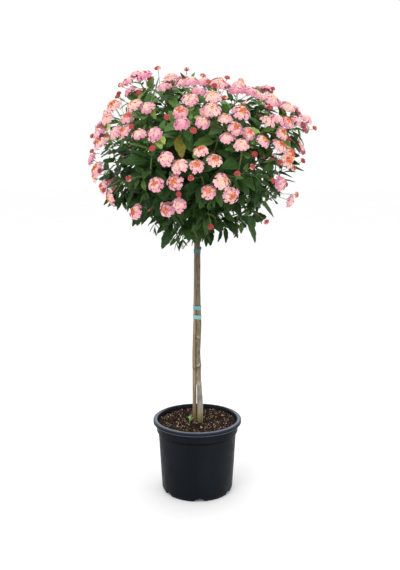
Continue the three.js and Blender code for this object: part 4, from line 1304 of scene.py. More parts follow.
def make_crumbs(values):
    """Lumps of mix, chips of bark and grains of white grit on the soil."""
    kinds = (
        ("mix_lumps", lump_pattern(1, 1, 0.8), values.lumps, 0.7, 2.3, MIX_TONES, 500),
        ("bark_chips", lump_pattern(2, 4, 0.34), values.chips, 1.3, 3.6, CHIP_TONES, 400),
        ("white_grit", lump_pattern(1, 9, 0.9), values.grit, 0.6, 1.6, GRIT_TONES, 900),
    )
    for i, (name, pattern, count, small, large, tones, scale) in enumerate(kinds):
        heap = Heap()
        scatter(heap, pattern, count, seeded("crumbs", i), small, large, tones)
        settle(heap.build(name, [crumb_finish(name, scale)]), name, "soil")


def drawn_up(sides, stations):
    """A round post drawn up ring by ring through stations of (x, y, height, radius)."""
    x, y, height, radius = stations[0]
    add_disc(sides, radius)
    move(x * MM, y * MM, height * MM)
    bpy.context.tool_settings.mesh_select_mode = (False, True, False)
    for next_x, next_y, tall, wide in stations[1:]:
        extrude((next_x - x) * MM, (next_y - y) * MM, (tall - height) * MM)
        resize(wide / radius, wide / radius, 1)
        x, y, height, radius = next_x, next_y, tall, wide
    return face_outwards()


def tint_points(piece, tone_at):
    """Gives every point of a piece the colour that tone_at finds for its place in millimetres."""
    tint = piece.data.color_attributes.new("tint", "FLOAT_COLOR", "POINT")
    tones = [(*tone_at(vertex.co / MM), 1) for vertex in piece.data.vertices]
    tint.data.foreach_set("color", np.array(tones).ravel())


def make_cane():
    """A wooden cane with one knot, drawn in behind the trunk by the ties."""
    draw = seeded("cane")
    tall = CANE["top"] - CANE["foot"]
    even = [CANE["foot"] + tall * i / CANE["rings"] for i in range(CANE["rings"] + 1)]
    stations = []
    for height in sorted(even + [337, 339, 341, 343, CANE["knot"], 349, 353]):
        x, y, radius = cane_at(height)
        radius = radius * (0.975 + 0.05 * draw()) + 0.6 * bump(height, CANE["knot"], 3.4)
        radius -= 0.4 * bump(height, CANE["nick"], 1.6)
        stations.append((x + 0.25 * (draw() - 0.5), y + 0.25 * (draw() - 0.5), height, radius))
    x, y, height, radius = stations[-1]
    stations[-1] = (x, y, height - 0.9, radius)
    stations.append((x, y, height, radius * 0.8))
    cane = drawn_up(CANE["sides"], stations)
    # Painted shade: darker on the side towards the trunk, and partly high up under the head
    tint_points(cane, lambda co: blend_colors(CANE_HEIGHT_TONE_AND_SHADE, co.z)
                * blend_colors(CANE_SIDE_SHADE, co.x - cane_at(co.z)[0]))
    cane.data.materials.append(cane_finish())
    return settle(cane, "wooden_cane", "cane", "cane", smooth=40)


def bump(height, middle, wide):
    """A smooth swelling, 1 at its middle."""
    return math.exp(-((height - middle) / wide) ** 2)


def from_table(height, table, column):
    """A column of a table of heights, with its corners rounded."""
    heights, values = [row[0] for row in table], [row[column] for row in table]
    return sum(np.interp(height + step, heights, values) for step in (-5, 0, 5)) / 3


def cane_at(height):
    """The cane's middle and radius: the ties draw its upper half in behind the trunk."""
    lean, back, radius = (from_table(height, CANE_RUN, column) for column in (1, 2, 3))
    return CANE["x"] + lean, back, radius


def bole_radius(height):
    solid = np.interp(height, [z for _, z, _ in TRUNK], [radius for _, _, radius in TRUNK])
    return solid + from_table(height, BOLE_RUN, 2)


def bole_middle(height):
    """Where the middle of the bole runs: close to the cane low down, with a slight wave above."""
    return on_trunk(height)[0] + from_table(height, BOLE_RUN, 1)


def bole_relief(x, z, turn, waves):
    """How far the bark stands out at a place and a turn about the bole: waves, old rings and bud scars."""
    grow = sum(0.1 * math.sin(phase + z * rate + turn * count) for phase, rate, count in waves)
    ring = bump(slanted(x, z), BOLE["graft"], 2.8)
    grow += (1.2 + 0.4 * math.sin(3 * turn + 1)) * ring - 0.5 * bump(z, BOLE["below_graft"], 3)
    for height, rise, wide in BOLE_SWELLS:
        grow += rise * bump(z, height, wide)
    grow += 0.7 * bump(slanted(x, z), BOLE["scar"], 2.6)
    for height, side, rise in BUD_SCARS:
        off_degrees = (math.degrees(turn) - side + 180) % 360 - 180
        grow += rise * bump(z, height, 3.2) * bump(off_degrees, 0, 28)
    return grow


def make_bole():
    """The bole with its old graft ring, bud scars and ridged bark."""
    heights = [*np.arange(BOLE["foot"], BOLE["top"], BOLE["ring_step"]), BOLE["top"]]
    bole = drawn_up(BOLE["sides"], [(bole_middle(z), 0, z, bole_radius(z)) for z in heights])
    draw = seeded("bole")
    waves = [(draw() * 6.28, 0.02 + 0.05 * draw(), 1 + int(draw() * 4)) for _ in range(9)]
    for vertex in bole.data.vertices:
        x, y, z = (v / MM for v in vertex.co)
        middle = bole_middle(z)
        grow = bole_relief(x, z, math.atan2(y, x - middle), waves)
        if z > BOLE["foot"] + 0.5:
            wide = math.hypot(x - middle, y) or 1
            vertex.co.x = (middle + (x - middle) * (wide + grow) / wide) * MM
            vertex.co.y = y * (wide + grow) / wide * MM
    tint_points(bole, lambda co: blend_colors(BOLE_TONES, slanted(co.x, co.z)))
    bole.data.materials.append(bark_finish())
    return settle(bole, "trunk_bole", "bark", "trunk", smooth=60)


def slanted(x, z):
    """A height on the bole, counted along its slanting rings."""
    slant = next(slant for above, slant in BOLE_SLANTS if z > above)
    return z + slant * (x - BOLE["ring_x"])


def make_limbs(limbs, shoots):
    """The limbs of the head and the twigs that carry its shoots."""
    heap = Heap()
    old, young = np.array(shade(112, 104, 78)), np.array(shade(104, 116, 66))
    between = (old + young) / 2
    for limb in limbs:
        line = limb["line"]
        start = plus(line[0], minus(line[1], line[0]), -0.15)
        radii = np.interp(np.linspace(0, 1, len(line) + 1), [0, 0.15, 1], [5.2, 4.6, LIMB["tip"] * 0.95])
        heap.tube([start, *line], radii, 10, (old, between))
    for shoot in shoots:
        foot, end = shoot["twig"]
        inner = plus(foot, unit(minus(end, foot)), -2.5)
        heap.tube([inner, foot, mix(foot, end, 0.5), end], [2.9, 2.9, 2.6, 2.35], 8, (between, young))
    return settle(heap.build("limbs", [bark_finish()]), "limbs", "bark", "trunk", smooth=50)


def tie_outline(height, stand):
    """A loop drawn tight round the bole and the cane."""
    bound = ((bole_middle(height), 0, bole_radius(height) + TIES["trunk_play"]), cane_at(height))
    points = []
    for i in range(TIES["sides"]):
        c, s = math.cos(2 * math.pi * i / TIES["sides"]), math.sin(2 * math.pi * i / TIES["sides"])
        x, y, radius = max(bound, key=lambda post: post[0] * c + post[1] * s + post[2])
        points.append((x + (radius + stand) * c, y + (radius + stand) * s))
    return points


def make_tie(name, node, height, color, draw):
    """A band of stretched tape, wound twice, with its edges curling."""
    points, faces = [], []
    for share, stand in TIE_ROWS:
        for x, y in tie_outline(height, stand):
            z = height + TIES["tall"] * share + TIES["frayed"] * (draw() - 0.5)
            points.append((x * MM, y * MM, z * MM))
    around = TIES["sides"]
    for row in range(len(TIE_ROWS) - 1):
        for i in range(around):
            j = (i + 1) % around
            faces.append((row * around + i, row * around + j, (row + 1) * around + j, (row + 1) * around + i))
    mesh = bpy.data.meshes.new(name)
    mesh.from_pydata(points, [], faces)
    band = bpy.data.objects.new(name, mesh)
    bpy.context.scene.collection.objects.link(band)
    wall = band.modifiers.new("wall", "SOLIDIFY")
    wall.thickness, wall.offset = TIES["wall"] * MM, 1
    apply_all(band)
    band.data.materials.append(tape_finish(name, color))
    return settle(band, name, "tie", node, smooth=50)


# ---------------------------------------------------------------- leaves and shoots
def new_leaf(root, way, top, petiole, scale, narrow, fold, droop, fresh):
    """A leaf sized from the full-grown one; fresh tells how young its green is."""
    return {"root": root, "way": way, "top": top, "petiole": petiole, "length": LEAF["length"] * scale,
            "half_width": LEAF["half_width"] * scale * narrow, "fold": fold, "droop": droop, "fresh": fresh}


def put_leaf(heap, pattern, leaf, tone, wave):
    """A copy of the blade, folded and drooping as its solid is, on its own small stalk."""
    x, t, z = pattern.points.T
    half, long, petiole = leaf["half_width"], leaf["length"], leaf["petiole"]
    rise = leaf["fold"] * np.abs(x) * half - leaf["droop"] * t * t
    rise = rise + z * LEAF["wall"] * min(1, long / 30)
    rise = rise + wave * np.abs(x) * np.sin(t * 11 + wave * 9) * half * 0.09
    way, top, root = np.array(leaf["way"]), np.array(leaf["top"]), np.array(leaf["root"])
    side = np.cross(way, top)
    points = root + np.outer(petiole + long * t, way) + np.outer(x * half, side) + np.outer(rise, top)
    tone = np.array(tone)
    lower = (z < -0.05)[:, None]
    heap.copy(pattern, points, np.where(lower, tone * 1.25 + np.array([0.012, 0.016, 0.008]), tone))
    end = root + way * (petiole + long * 0.04)
    middle = root + way * petiole * 0.5 - top * petiole * 0.05
    thin = max(0.45, 0.8 * min(1, long / 40))
    radii = [thin * 1.2, thin, thin * 0.9]
    heap.tube([root - way * 0.8, middle, end], radii, 4, (tone * 1.3, tone * 1.4), slot=1)


def open_heads(shoots):
    return [head for shoot in shoots for head in shoot["heads"] if head["open"]]


def keep_faces_clear(room, shoots):
    """Takes the room before the face of every open head, so that no further leaf hides it."""
    for head in open_heads(shoots):
        r = head["radius"]
        room.add([(*plus(head["base"], head["facing"], r * far), r * wide)
                  for far, wide in ((0.8, 0.9), (1.5, 1), (2.2, 0.9))])


def trim_leaves(shoots):
    """Shortens a leaf whose blade would pass through the florets of an open head."""
    faces = [(plus(head["base"], head["facing"], head["radius"] * 0.5), head["radius"] * 0.85)
             for head in open_heads(shoots)]
    for shoot in shoots:
        for leaf in shoot["leaves"]:
            near = [face for face in faces if apart(face[0], leaf["root"]) < leaf["length"] + 40]
            for _ in range(5):
                rib = [plus(leaf["root"], leaf["way"], leaf["petiole"] + leaf["length"] * t,
                            leaf["top"], -leaf["droop"] * t * t) for t in (0.3, 0.5, 0.7, 0.85, 1)]
                if all(apart(middle, point) > wide for middle, wide in near for point in rib):
                    break
                leaf["length"] *= 0.86
                leaf["half_width"] *= 0.94


def leaf_tone(draw, root, young):
    """A green for one leaf: fresher near a tip, paler high up as painted light from above, and darker deep in
    the head as painted shade.
    """
    tone = blend_colors(LEAF_TONES, min(1, draw() * 0.75 + 0.35 * young))
    # Painted light: leaves high in the head are paler; painted shade: leaves deep in it are darker
    high = np.interp(root[2], (875, 950), (0.0, 1.0))
    return tone * (1 + high * np.array((2.9, 1.95, 2.5))) * (1 - 0.55 * depth_in_head(root))


def leaf_pairs(room, line, draw, back, form, make, welcome=lambda tip: True):
    """Pairs of leaves from a distance back along a line, each pair a quarter turn from the last."""
    made, quarter = [], 0
    whole = length_of(line) - form["stop"]
    while back < whole:
        point, axis = back_from_tip(line, back)
        side, lift = square_to(axis, UP)
        for half_turn in (0, 180):
            for attempt in range(form["tries"]):
                loose = (draw() - 0.5) * (form["spread"] + form["looser"] * attempt)
                facing = spoke(side, lift, math.radians(90 * quarter + half_turn + loose))
                leaf = make(point, axis, lift, facing, back, attempt)
                balls = leaf_balls(leaf, **form["balls"])
                if inside_head(balls) and welcome(balls[-1]) and room.take(balls):
                    made.append(leaf)
                    break
        back += form["spacing"] * (0.8 + form["uneven"] * draw())
        quarter = 1 - quarter
    return made


def more_leaves(room, shoot):
    """Further pairs of leaves all along a shoot and its twig, where there is room for them."""
    draw = seeded("further", shoot["index"])
    low = shoot["rise"] < LOW_SHOOT
    wiry = low and shoot["way"][0] > 0.6
    fall_most, narrow = (0.75, 0.62) if low else (0.4, 0.85)

    def make(point, axis, lift, facing, back, attempt):
        fresh = max(0.0, 1 - back / 45)
        lean, fall = draw(), draw()
        way = unit(plus(plus(facing, axis, 0.15 + 0.6 * lean), UP, -(0.05 + fall_most * fall)))
        top = levelled(plus(ORIGIN, shoot["way"], 0.7, UP, 0.7, any_way(draw), 0.4), way)
        scale = (0.5 + 0.5 * (1 - fresh)) * (0.68 + 0.42 * draw()) * (1 - attempt * 0.02)
        return new_leaf(plus(point, facing, 1.4), way, top, LEAF["petiole"] * (0.5 + 0.6 * scale), scale,
                        narrow + 0.25 * draw(), 0.14 + 0.2 * draw(), (3 + 10 * draw()) * scale, fresh)

    line = [shoot["twig"][0], *shoot["line"], *shoot["leader"]]
    form = {**FURTHER, "spacing": 13 if wiry else 8.5 if low else 9.5}
    return leaf_pairs(room, line, draw, 1.0 if shoot["leader"] else 5.0, form, make,
                      welcome=lambda tip: is_welcome(tip, draw()))


def grow_leader(room, shoot):
    """The tip of a high shoot grows on between its flower heads, where there is room."""
    if shoot["rise"] < LOW_SHOOT:
        return []
    draw = seeded("leader", shoot["index"])
    tip = shoot["line"][-1]
    way = unit(minus(tip, shoot["line"][-2]))
    for attempt in range(30):
        far = (34 - 0.5 * attempt) * (0.8 + 0.2 * draw())
        end = plus(tip, unit(plus(way, any_way(draw), 0.5)), far)
        leader = bend(tip, plus(tip, way, far * 0.5), end, 4)[1:]
        if room.take(balls_along([tip, *leader], 0.6, 6)):
            return leader
    return []


def hanging_twigs(room, shoots):
    """Thin leafy twigs that hang from the low shoots, two from each if there is room."""
    twigs = []
    for shoot in shoots:
        draw = seeded("twigs", shoot["index"])
        for _ in range(2 if shoot["rise"] <= 0 else 0):
            line = hang_twig(room, shoot, draw)
            if line:
                twigs.append({"line": line, "leaves": twig_leaves(room, line, draw)})
    return twigs


def hang_twig(room, shoot, draw):
    for _ in range(40):
        point, axis = back_from_tip(shoot["line"], 4 + draw() * 90)
        side, lift = square_to(axis, UP)
        turn = draw() * 2 * math.pi
        out = plus(ORIGIN, side, math.cos(turn), lift, 0.6 * math.sin(turn) - 0.4)
        way = unit(plus(plus(out, axis, 0.9 * draw()), shoot["way"], 0.8))
        long = 34 + 44 * draw()
        end = plus(point, unit(plus(way, UP, -0.5 - 0.7 * draw())), long)
        line = bend(point, plus(point, way, long * 0.55), end, 8)
        balls = balls_along(line, 0.5, 4)
        if inside_head(balls) and room.take(balls):
            return line
    return None


def twig_leaves(room, line, draw):
    """Pairs of small narrow leaves along a hanging twig, and one at its tip."""

    def make(point, axis, lift, facing, back, attempt):
        way = unit(plus(plus(facing, axis, 0.6 + 0.5 * draw()), UP, -0.3 - 0.7 * draw()))
        top = levelled(plus(any_way(draw), lift, 1.2), way)
        scale = 0.3 + 0.36 * draw()
        return new_leaf(plus(point, facing, 0.4), way, top, 3.0, scale, 0.72, 0.2, 4 * scale, 0.5)

    return leaf_pairs(room, line, draw, 0.5, SMALL, make)


def inner_leaves(room, limbs):
    """Leaves that hang from the limbs, round the top of the trunk and under the head."""
    draw = seeded("inner")
    made = []
    for line in [[on_trunk(660), on_trunk(700), on_trunk(742)], *(limb["line"] for limb in limbs)]:
        bare = 0.5 if line[-1][0] > 30 else 0.25
        for share in (0.06, 0.2, 0.34, 0.5, 0.68, 0.86):
            spot = share * (len(line) - 1)
            first = int(spot)
            point = mix(line[first], line[first + 1], spot - first)
            axis = unit(minus(line[first + 1], line[first]))
            for hand in (-1, 1):
                if draw() >= bare:
                    made.append(hang_leaf(room, draw, point, axis, hand, 0.75 if share < 0.4 else 0.2))
    return [leaf for leaf in made if leaf]


def hang_leaf(room, draw, point, axis, hand, fresh):
    """A leaf that hangs from one side of a limb, or none where there is no room or it hides a tie."""
    for _ in range(14):
        side = unit(cross(axis, UP))
        out = unit(plus(scaled(side, hand), axis, draw() * 1.2 - 0.3))
        way = unit(plus(out, UP, -(0.5 + 1.6 * draw())))
        top = levelled(plus(any_way(draw), out, 1.5), way)
        scale = 0.45 + 0.45 * draw()
        leaf = new_leaf(plus(point, out, 2.6), way, top, LEAF["petiole"] * scale, scale, 0.8,
                        0.12 + 0.16 * draw(), (3 + 8 * draw()) * scale, fresh)
        balls = leaf_balls(leaf, **FURTHER["balls"])
        if inside_head(balls) and room.take(balls):
            return None if hides_tie(balls) else leaf
    return None


def hides_tie(balls):
    """Whether balls hang before the top of the trunk, where the upper tie shows."""
    return any(y < 0 and abs(x) < UPPER_TIE["half_width"] and z < UPPER_TIE["below"] for x, y, z, _ in balls)


def is_welcome(tip, chance):
    """Whether a further leaf may end there: rarely past the lower head, least at its bare side."""
    across, _, above = minus(tip, CROWN["middle"])
    if above > LOWER_HEAD["below"]:
        return True
    bare = "bare_" if across > LOWER_HEAD["bare_from"] else ""
    return 1 - depth_in_head(tip) < LOWER_HEAD[bare + "full"] or chance < LOWER_HEAD[bare + "beyond"]


def inside_head(balls):
    """Whether balls stay in the box of the solids, and over the head's lower edge, which rises outwards."""
    low, high = HEAD_BOX
    if not all(low[i] - 2 < ball[i] < high[i] + 2 for ball in balls for i in range(3)):
        return False
    edge = LOWER_EDGE
    return all(z > low[2] + edge["clear"] + edge["outwards"] * max(0.0, math.hypot(x, y) - edge["level_to"])
               + edge["sideways"] * max(0.0, x - edge["level_to"]) for x, y, z, _ in balls)


def depth_in_head(place):
    """0 at the outside of the head, 1 at its middle."""
    x, y, z = minus(place, CROWN["middle"])
    tall = CROWN["up"] if z >= 0 else CROWN["down"]
    return max(0.0, 1 - size((x / CROWN["side"], y / CROWN["side"], z / tall)))


def make_shoot_leaves(shoot, pattern, materials):
    """The square stem of a shoot with all its leaves, and the stalks of its heads."""
    draw = seeded("greens", shoot["index"])
    heap = Heap()
    green, brown = np.array(shade(104, 128, 60)), np.array(shade(100, 104, 62))
    line = [plus(shoot["line"][0], shoot["lean"], -1.5), *shoot["line"]]
    radii = np.linspace(STEM["base"], STEM["tip"] * 0.8, len(line))
    heap.tube(line, radii, 6, (brown, green), slot=1)
    if shoot["leader"]:
        heap.tube([shoot["line"][-1], *shoot["leader"]], [1.2, 1.1, 1.0, 0.9, 0.7], 5, (green, green), slot=1)
    for leaf in shoot["leaves"] + shoot["more"]:
        tone = leaf_tone(draw, leaf["root"], leaf["fresh"])
        put_leaf(heap, pattern, leaf, leaf.get("tone", tone), draw() - 0.3)
    for head in shoot["heads"]:
        put_stalk(heap, head, draw)
    name = f"leaves_{shoot['index'] + 1:02d}"
    return settle(heap.build(name, materials), name, "leaf", node_of(shoot), smooth=60)


def node_of(shoot):
    return f"flowering_shoot_{shoot['index'] + 1:02d}"


def put_stalk(heap, head, draw):
    """The slender stalk of a flower head, which swells a little below the florets."""
    root, base, facing = head["root"], head["base"], head["facing"]
    long = apart(root, base)
    past = mix(root, plus(base, facing, -0.4 * long), 0.6)
    line = bend(root, past, base, 7)
    line = [plus(root, unit(minus(line[1], root)), -1.2), *line, plus(base, facing, 2.2)]
    thin = 0.72 if head["open"] else 0.62
    radii = [thin * 1.15] + [thin] * 7 + [thin * 1.3, thin * 2.2]
    warm = draw() < 0.35
    tone = shade(150, 118, 78) if warm else shade(132, 156, 84)
    heap.tube(line, radii, 5, (shade(116, 140, 70), tone), slot=1)


# ---------------------------------------------------------------- flower heads
def put_floret(heap, pattern, at, axes, wide, long, petal, throat, tube):
    """An open floret: its lobes, paler at their ends and painted deeper at their base as shade, its throat
    and the outside of its tube.
    """
    x, y, z = pattern.points.T
    out = np.hypot(x, y)
    petal = np.asarray(petal)
    tint = np.empty((len(x), 3))
    # The base of the lobes is painted deeper pink, as the shade between florets
    tint[:] = petal * (0.9, 0.66, 0.74)
    tint[out > 0.8] = petal + (1 - petal) * 0.3
    tint[(out < 0.5) & (z > -0.2)] = throat
    tint[(out < 0.3) & (z < -0.25)] = tube
    heap.stand(pattern, at, axes, wide, long, tint)


def put_open_head(heap, patterns, head, draw, age):
    """A dome of florets: the oldest round the edge, younger rings inside it, buds in the middle."""
    base, facing, r = head["base"], head["facing"], head["radius"]
    side, lift = square_to(facing, HEAD["hint"])
    age += max(0.0, min(0.3, (base[2] - 900) / 500))  # those on top are older
    rings = HEAD_RINGS[next(name for up_to, name in HEAD_AGES if age < up_to)]
    spin, older = draw() * 6.28, (draw() - 0.5) * 0.24
    core = patterns["core"]
    core_out = np.hypot(core.points[:, 0], core.points[:, 1])
    # The core dome fills the gaps between the florets in painted shade tones
    heap.stand(core, plus(base, facing, r * 0.02), (side, lift, facing), r * 0.74, r * 0.38,
               blend_colors(CORE_SHADE_TONES, core_out * (rings[0]["tone"] + older)))
    for ring in rings:
        for i in range(ring["count"]):
            turn = spin + (i + (draw() - 0.5) * 0.44) * 2 * math.pi / ring["count"]
            tilt = math.radians(ring["tilt"] + (draw() - 0.5) * 34)
            out = spoke(side, lift, turn)
            reach = r * (ring["reach"] + (draw() - 0.5) * 0.18)
            rise = r * (ring["rise"] + (draw() - 0.5) * 0.12)
            at = plus(base, out, reach, facing, rise)
            axis = unit(plus(scaled(facing, math.cos(tilt)), out, math.sin(tilt)))
            axes = (*square_to(axis, any_way(draw)), axis)
            tone = ring["tone"] + older + (draw() - 0.5) * (0.5 if ring["bud"] else 0.24)
            wide = r * ring["wide"] * (0.85 + 0.3 * draw())
            if ring["bud"]:
                heap.stand(patterns["bud"], at, axes, wide, wide * 1.5, blend_colors(BUD_TONES, tone))
            else:
                tones = (blend_colors(blend, tone) for blend in (PETAL_TONES, THROAT_TONES, CORE_SHADE_TONES))
                put_floret(heap, patterns["floret"], at, axes, wide, wide * 0.95, *tones)
        spin += 0.9


def put_bud_head(heap, patterns, head, draw):
    """A cup of unopened buds, some with a first few pale florets round their edge."""
    base, facing, r = head["base"], head["facing"], head["radius"]
    side, lift = square_to(facing, HEAD["hint"])
    tall = BUD["height"]
    opening = draw() < 0.34
    red = draw()
    shaded = 1 - 0.9 * depth_in_head(base)
    spin = draw() * 6.28
    heap.stand(patterns["core"], plus(base, facing, 1.5), (side, lift, facing), r * 0.66, tall * 0.52,
               shade(184, 78, 74))
    for i in range(BUD["tips"]):
        share = math.sqrt(i / (BUD["tips"] - 1))
        polar = math.radians(98) * share
        out = spoke(side, lift, spin + i * HEAD["golden_angle"])
        at = plus(base, out, r * 0.74 * math.sin(polar), facing, tall * (0.36 + 0.44 * math.cos(polar)))
        axis = unit(plus(scaled(facing, math.cos(polar)), out, math.sin(polar)))
        axes = (*square_to(axis, any_way(draw)), axis)
        if opening and share > 0.72 and draw() < 0.6:
            petal = blend_colors(FIRST_PETAL_TONES, draw())
            put_floret(heap, patterns["floret"], plus(at, axis, 1.5), axes, 3, 2.6, petal,
                       shade(240, 130, 60), shade(226, 110, 110))
        else:
            ripe = min(1, 0.6 * red + 0.3 * draw() + 0.2 * (1 - share))
            heap.stand(patterns["bud"], at, axes, 1.75, 2.5, blend_colors(CLOSED_BUD_TONES, ripe) * shaded)


def put_bracts(heap, pattern, head, draw):
    """The ring of narrow green bracts under a head."""
    base, facing = head["base"], head["facing"]
    side, lift = square_to(facing, HEAD["hint"])
    upwards, length = (0.25, 6.5) if head["open"] else (0.7, 5)
    spin = draw() * 6.28
    for i in range(6):
        way = unit(plus(spoke(side, lift, spin + i * math.pi / 3), facing, upwards))
        across = unit(cross(way, facing))
        long = length * (0.8 + 0.4 * draw())
        heap.stand(pattern, plus(base, facing, 0.8), (across, way, cross(across, way)), long, long,
                   shade(112, 142, 66), slot=1)


def make_shoot_flowers(shoot, patterns, materials):
    """All the flower heads of one shoot."""
    draw = seeded("petals", shoot["index"])
    heap = Heap()
    for head in shoot["heads"]:
        if head["open"]:
            put_open_head(heap, patterns, head, draw, age=draw())
        else:
            put_bud_head(heap, patterns, head, draw)
        put_bracts(heap, patterns["bract"], head, draw)
    name = f"flowers_{shoot['index'] + 1:02d}"
    return settle(heap.build(name, materials), name, "bloom", node_of(shoot), smooth=60)


def make_inner_leaves(leaves, twigs, pattern, materials):
    """The leaves that hang from the limbs, and the thin twigs with theirs."""
    draw = seeded("inner_greens")
    heap = Heap()
    for twig in twigs:
        radii = np.linspace(1.0, 0.5, len(twig["line"]))
        heap.tube(twig["line"], radii, 4, (shade(92, 96, 56), shade(112, 136, 66)), slot=1)
    for leaf in leaves + [leaf for twig in twigs for leaf in twig["leaves"]]:
        put_leaf(heap, pattern, leaf, leaf_tone(draw, leaf["root"], leaf["fresh"]), draw() - 0.3)
    return settle(heap.build("limb_leaves", materials), "limb_leaves", "leaf", smooth=60)


def make_sprout(pattern, materials):
    """The young shoot by the cane, with its pairs of small bright leaves."""
    heap = Heap()
    foot, tip = ((SPROUT["x"], SPROUT["y"], z) for z in (SOIL["height"] - SPROUT["in_soil"], SPROUT["top"]))
    stem = square_stem([foot, tip], SPROUT, 0.4)
    bright = np.array(shade(140, 180, 110))
    heap.tube([foot, mix(foot, tip, 0.5), tip], [1.4, 1.2, 1.0], 6, (shade(70, 60, 40), bright), slot=1)
    chosen = [s for s in stem["sockets"] if s["node"] < 2 and (s["facet"] + s["node"]) % 2]
    for i, socket in enumerate(chosen):
        way = unit(plus((0.75, 0.1, 1.0), socket["facing"], 0.45))
        leaf = {"root": socket["middle"], "way": way, "top": levelled(UP, way), "petiole": SPROUT["petiole"],
                "length": SPROUT["leaf_length"], "half_width": SPROUT["leaf_half_width"], "fold": 0.2,
                "droop": 1.5}
        put_leaf(heap, pattern, leaf, bright * (0.85 + 0.1 * i), 0.2)
    return settle(heap.build("sprout", materials), "young_sprout", "leaf", "basal_sprout", smooth=60)


# ---------------------------------------------------------------- what a user can set
def gamma(red, green, blue):
    """A setting's colour from its 0..255 screen values."""
    return (red / 255, green / 255, blue / 255)


class LantanaFoliage(bpy.types.PropertyGroup):
    """The leaves."""

    vein: bpy.props.FloatVectorProperty(
        name="Vein colour", description="Colour of the midrib and the side veins", subtype="COLOR_GAMMA",
        default=gamma(122, 156, 74), min=0, max=1)
    side_veins: bpy.props.IntProperty(
        name="Side veins", description="Pairs of side veins on a leaf", default=7, min=2, max=16)


class LantanaPotting(bpy.types.PropertyGroup):
    """The pot and what is in it."""

    pot: bpy.props.FloatVectorProperty(
        name="Pot colour", description="Colour of the moulded pot", subtype="COLOR_GAMMA",
        default=gamma(17, 21, 26), min=0, max=1)
    # The rim colour is the colour of the painted highlights on the rim
    rim: bpy.props.FloatVectorProperty(
        name="Rim colour", description="Colour of the worn edges of the rim", subtype="COLOR_GAMMA",
        default=gamma(124, 134, 149), min=0, max=1)
    lumps: bpy.props.IntProperty(
        name="Lumps", description="Lumps of potting mix on the soil", default=2600, min=0, max=6000)
    chips: bpy.props.IntProperty(
        name="Bark chips", description="Chips of bark on the soil", default=150, min=0, max=1000)
    grit: bpy.props.IntProperty(
        name="White grit", description="Grains of white grit on the soil", default=85, min=0, max=2000)


class LantanaStage(bpy.types.PropertyGroup):
    """Floor, light and camera."""

    floor_size: bpy.props.FloatProperty(
        name="Floor size", description="Side of the floor", subtype="DISTANCE", unit="LENGTH",
        default=30.0, min=2.0)
    sky: bpy.props.FloatProperty(
        name="Room light", description="Strength of the even light from all round", default=1.0, min=0.0)
    key: bpy.props.FloatProperty(
        name="Key light", description="Power of the large soft light above the front", subtype="POWER",
        unit="POWER", default=30.0, min=0.0)
    lens: bpy.props.FloatProperty(
        name="Lens", description="Focal length of the camera in millimetres", default=48.44, min=10.0)


class Planned:
    """The plan of limbs and shoots, made once and shared by the operators."""

    limbs = shoots = twigs = inner = None

    @classmethod
    def make(cls):
        if cls.shoots is None:
            room, cls.limbs, cls.shoots = grow_shoots()
            for shoot in cls.shoots:
                shoot["leader"] = grow_leader(room, shoot)
            trim_leaves(cls.shoots)
            keep_faces_clear(room, cls.shoots)
            cls.twigs = hanging_twigs(room, cls.shoots)
            for shoot in cls.shoots:
                shoot["more"] = more_leaves(room, shoot)
            cls.inner = inner_leaves(room, cls.limbs)
            leaves = [leaf for shoot in cls.shoots for leaf in shoot["leaves"]]
            yellowing = min(leaves, key=lambda leaf: apart(leaf["root"], OLD_LEAF["near"]))
            yellowing["tone"] = OLD_LEAF["tone"]
        return cls


class Patterns:
    """The copied shapes and shared materials, made once."""

    shapes = green = bloom = None

    @classmethod
    def make(cls, context):
        if cls.shapes is None:
            cls.shapes = {"leaf": leaf_pattern(), "floret": floret_pattern(), "core": core_pattern(),
                          "bud": bud_pattern(), "bract": bract_pattern()}
            cls.green = [leaf_finish(context.scene.lantana_foliage), stem_finish()]
            cls.bloom = [petal_finish(), cls.green[1]]
        return cls


class LANTANA_OT_pot(bpy.types.Operator):
    """Build the nursery pot"""

    bl_idname = "lantana.pot"
    bl_label = "Nursery Pot"

    def execute(self, context):
        make_pot(context.scene.lantana_potting)
        return {"FINISHED"}


class LANTANA_OT_soil(bpy.types.Operator):
    """Build the potting mix with its lumps, bark chips and grit"""

    bl_idname = "lantana.soil"
    bl_label = "Potting Mix"

    def execute(self, context):
        make_soil()
        make_crumbs(context.scene.lantana_potting)
        return {"FINISHED"}


class LANTANA_OT_cane(bpy.types.Operator):
    """Build the cane and the tape ties round it and the trunk"""

    bl_idname = "lantana.cane"
    bl_label = "Cane and Ties"

    def execute(self, context):
        make_cane()
        for i, (node, height, color) in enumerate(TAPES):
            make_tie(node.replace("tie", "tape"), node, height, color, seeded("ties", i))
        return {"FINISHED"}


class LANTANA_OT_trunk(bpy.types.Operator):
    """Build the trunk with its limbs and twigs"""

    bl_idname = "lantana.trunk"
    bl_label = "Trunk and Limbs"

    def execute(self, context):
        plan = Planned.make()
        make_bole()
        make_limbs(plan.limbs, plan.shoots)
        return {"FINISHED"}


class LANTANA_OT_leaves(bpy.types.Operator):
    """Build the stems and leaves of every shoot and of the young sprout"""

    bl_idname = "lantana.leaves"
    bl_label = "Leafy Shoots"

    def execute(self, context):
        made = Patterns.make(context)
        plan = Planned.make()
        for shoot in plan.shoots:
            make_shoot_leaves(shoot, made.shapes["leaf"], made.green)
        make_inner_leaves(plan.inner, plan.twigs, made.shapes["leaf"], made.green)
        make_sprout(made.shapes["leaf"], made.green)
        return {"FINISHED"}


class LANTANA_OT_flowers(bpy.types.Operator):
    """Build the flower heads and buds of every shoot"""

    bl_idname = "lantana.flowers"
    bl_label = "Flower Heads"

    def execute(self, context):
        made = Patterns.make(context)
        for shoot in Planned.make().shoots:
            if shoot["heads"]:
                make_shoot_flowers(shoot, made.shapes, made.bloom)
        return {"FINISHED"}


